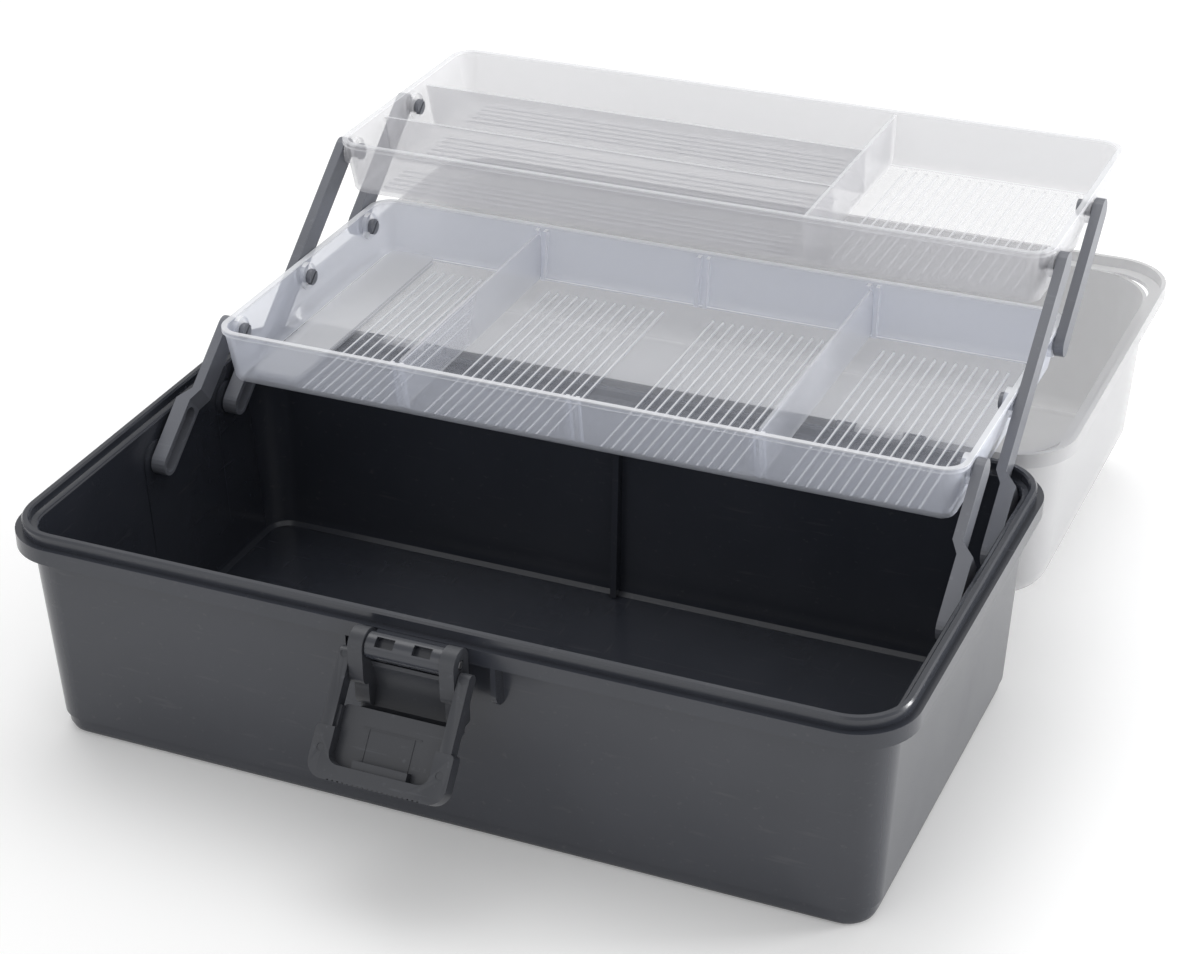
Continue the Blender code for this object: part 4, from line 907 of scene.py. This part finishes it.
sides = [add_block("plate_side", (min(a, b), BAIL_Y - 0.8 * MM, GRIP_Z - 2 * MM),
                   (max(a, b), PLATE_Y + 1.7 * MM, FOOT_Z + 30 * MM))
         for a, b in ((-24.4 * MM, -22.5 * MM), (22.5 * MM, 24.4 * MM))]
hook = add_block("hook", (-12 * MM, BAIL_Y - 1.7 * MM, RAIL_Z - 1 * MM),
                 (12 * MM, PLATE_Y + 0.6 * MM, RAIL_Z + 3.4 * MM))
cut_or_join(latch_bail, [mirror_over(arm), arm, plate] + sides + [hook], "UNION")
lines = [add_block("line", (x - 0.25 * MM, PLATE_Y - 0.3 * MM, RAIL_Z + 1 * MM),
                   (x + 0.25 * MM, PLATE_Y + 0.2 * MM, RAIL_Z + 17 * MM))
         for x in (-10 * MM, 10 * MM)]
lines.append(add_block("line", (-13 * MM, PLATE_Y - 0.3 * MM, RAIL_Z + 16.7 * MM),
                       (13 * MM, PLATE_Y + 0.2 * MM, RAIL_Z + 17.2 * MM)))
cut_or_join(latch_bail, lines, "UNION")
cuts = []
for side in (-1, 1):
    cuts.append(add_round("stud_hole", (side * 21.6 * MM, BAIL_Y, BAIL_Z),
                          (side * 27.15 * MM, BAIL_Y, BAIL_Z), 2.35 * MM, 24))
    for x, z, front in ((26.1, BAIL_Z, 3.2), (26.1, FOOT_Z + 12 * MM, 3.5)):
        start = (side * x * MM, BAIL_Y - (front + 1) * MM, z)
        cuts.append(add_round("ejector_mark", start, (start[0], BAIL_Y - (front - 0.25) * MM, z),
                              1.7 * MM, 24))
for i in range(19):
    x = (i - 9) * 2.2 * MM
    cuts.append(add_block("grip_groove", (x - 0.4 * MM, BAIL_Y - 4 * MM, FOOT_Z - 1 * MM),
                          (x + 0.4 * MM, BAIL_Y + 1.5 * MM, FOOT_Z + 0.45 * MM)))
cut_or_join(latch_bail, cuts, "DIFFERENCE")
soften(latch_bail, 0.4 * MM, 2)
bpy.ops.transform.rotate(value=math.radians(38), orient_axis="X", center_override=(0, BAIL_Y, BAIL_Z))
bpy.ops.object.transform_apply()
finish_piece(latch_bail, latch_plastic, "bail", "latch_plastic", "latch_bail")


# ---------------------------------------------------------------- arms
# Three arms a side carry the trays: front, long and link. They are grey polypropylene bars with
# studs moulded on their faces, and they snap into the trays' bosses and turn on them.
def finish_kept(words, material):
    """Give the frame's own pieces a material, and break their sharp edges."""
    for name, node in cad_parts.items():
        if any(word in name for word in words):
            node.data.materials.clear()
            node.data.materials.append(material)
            weld = node.modifiers.new("weld", "WELD")
            weld.merge_threshold = 0.00001
            edge = node.modifiers.new("edge", "BEVEL")
            edge.width = 0.5 * MM
            edge.segments = 2
            edge.limit_method = "ANGLE"
            edge.angle_limit = math.radians(35)


arm_plastic = make_plastic("arm_plastic", dark=(0.125, 0.131, 0.151), light=(0.155, 0.163, 0.187),
                           rough=(0.32, 0.42), grain=0.12, specular=0.6, worn=(0.22, 0.23, 0.25))
finish_kept(["arm"], arm_plastic)


# ---------------------------------------------------------------- carry handle
# A hooped bar of the same grey plastic folds flat into the lid's recess. It turns on two short
# pins that spring into the lid.
finish_kept(["carry"], arm_plastic)


# ---------------------------------------------------------------- pins
# The lid's hinge and the latch lever each turn on a plain drawn steel rod. The rods are pushed
# through the barrels from one end and show only at their bright ends.
pin_steel = make_plastic("pin_steel", dark=(0.45, 0.45, 0.47), light=(0.55, 0.55, 0.57),
                         rough=(0.28, 0.36), grain=0.02, worn=(0.7, 0.7, 0.7))
pin_steel.node_tree.nodes["Principled BSDF"].inputs["Metallic"].default_value = 1
finish_kept(["pin"], pin_steel)
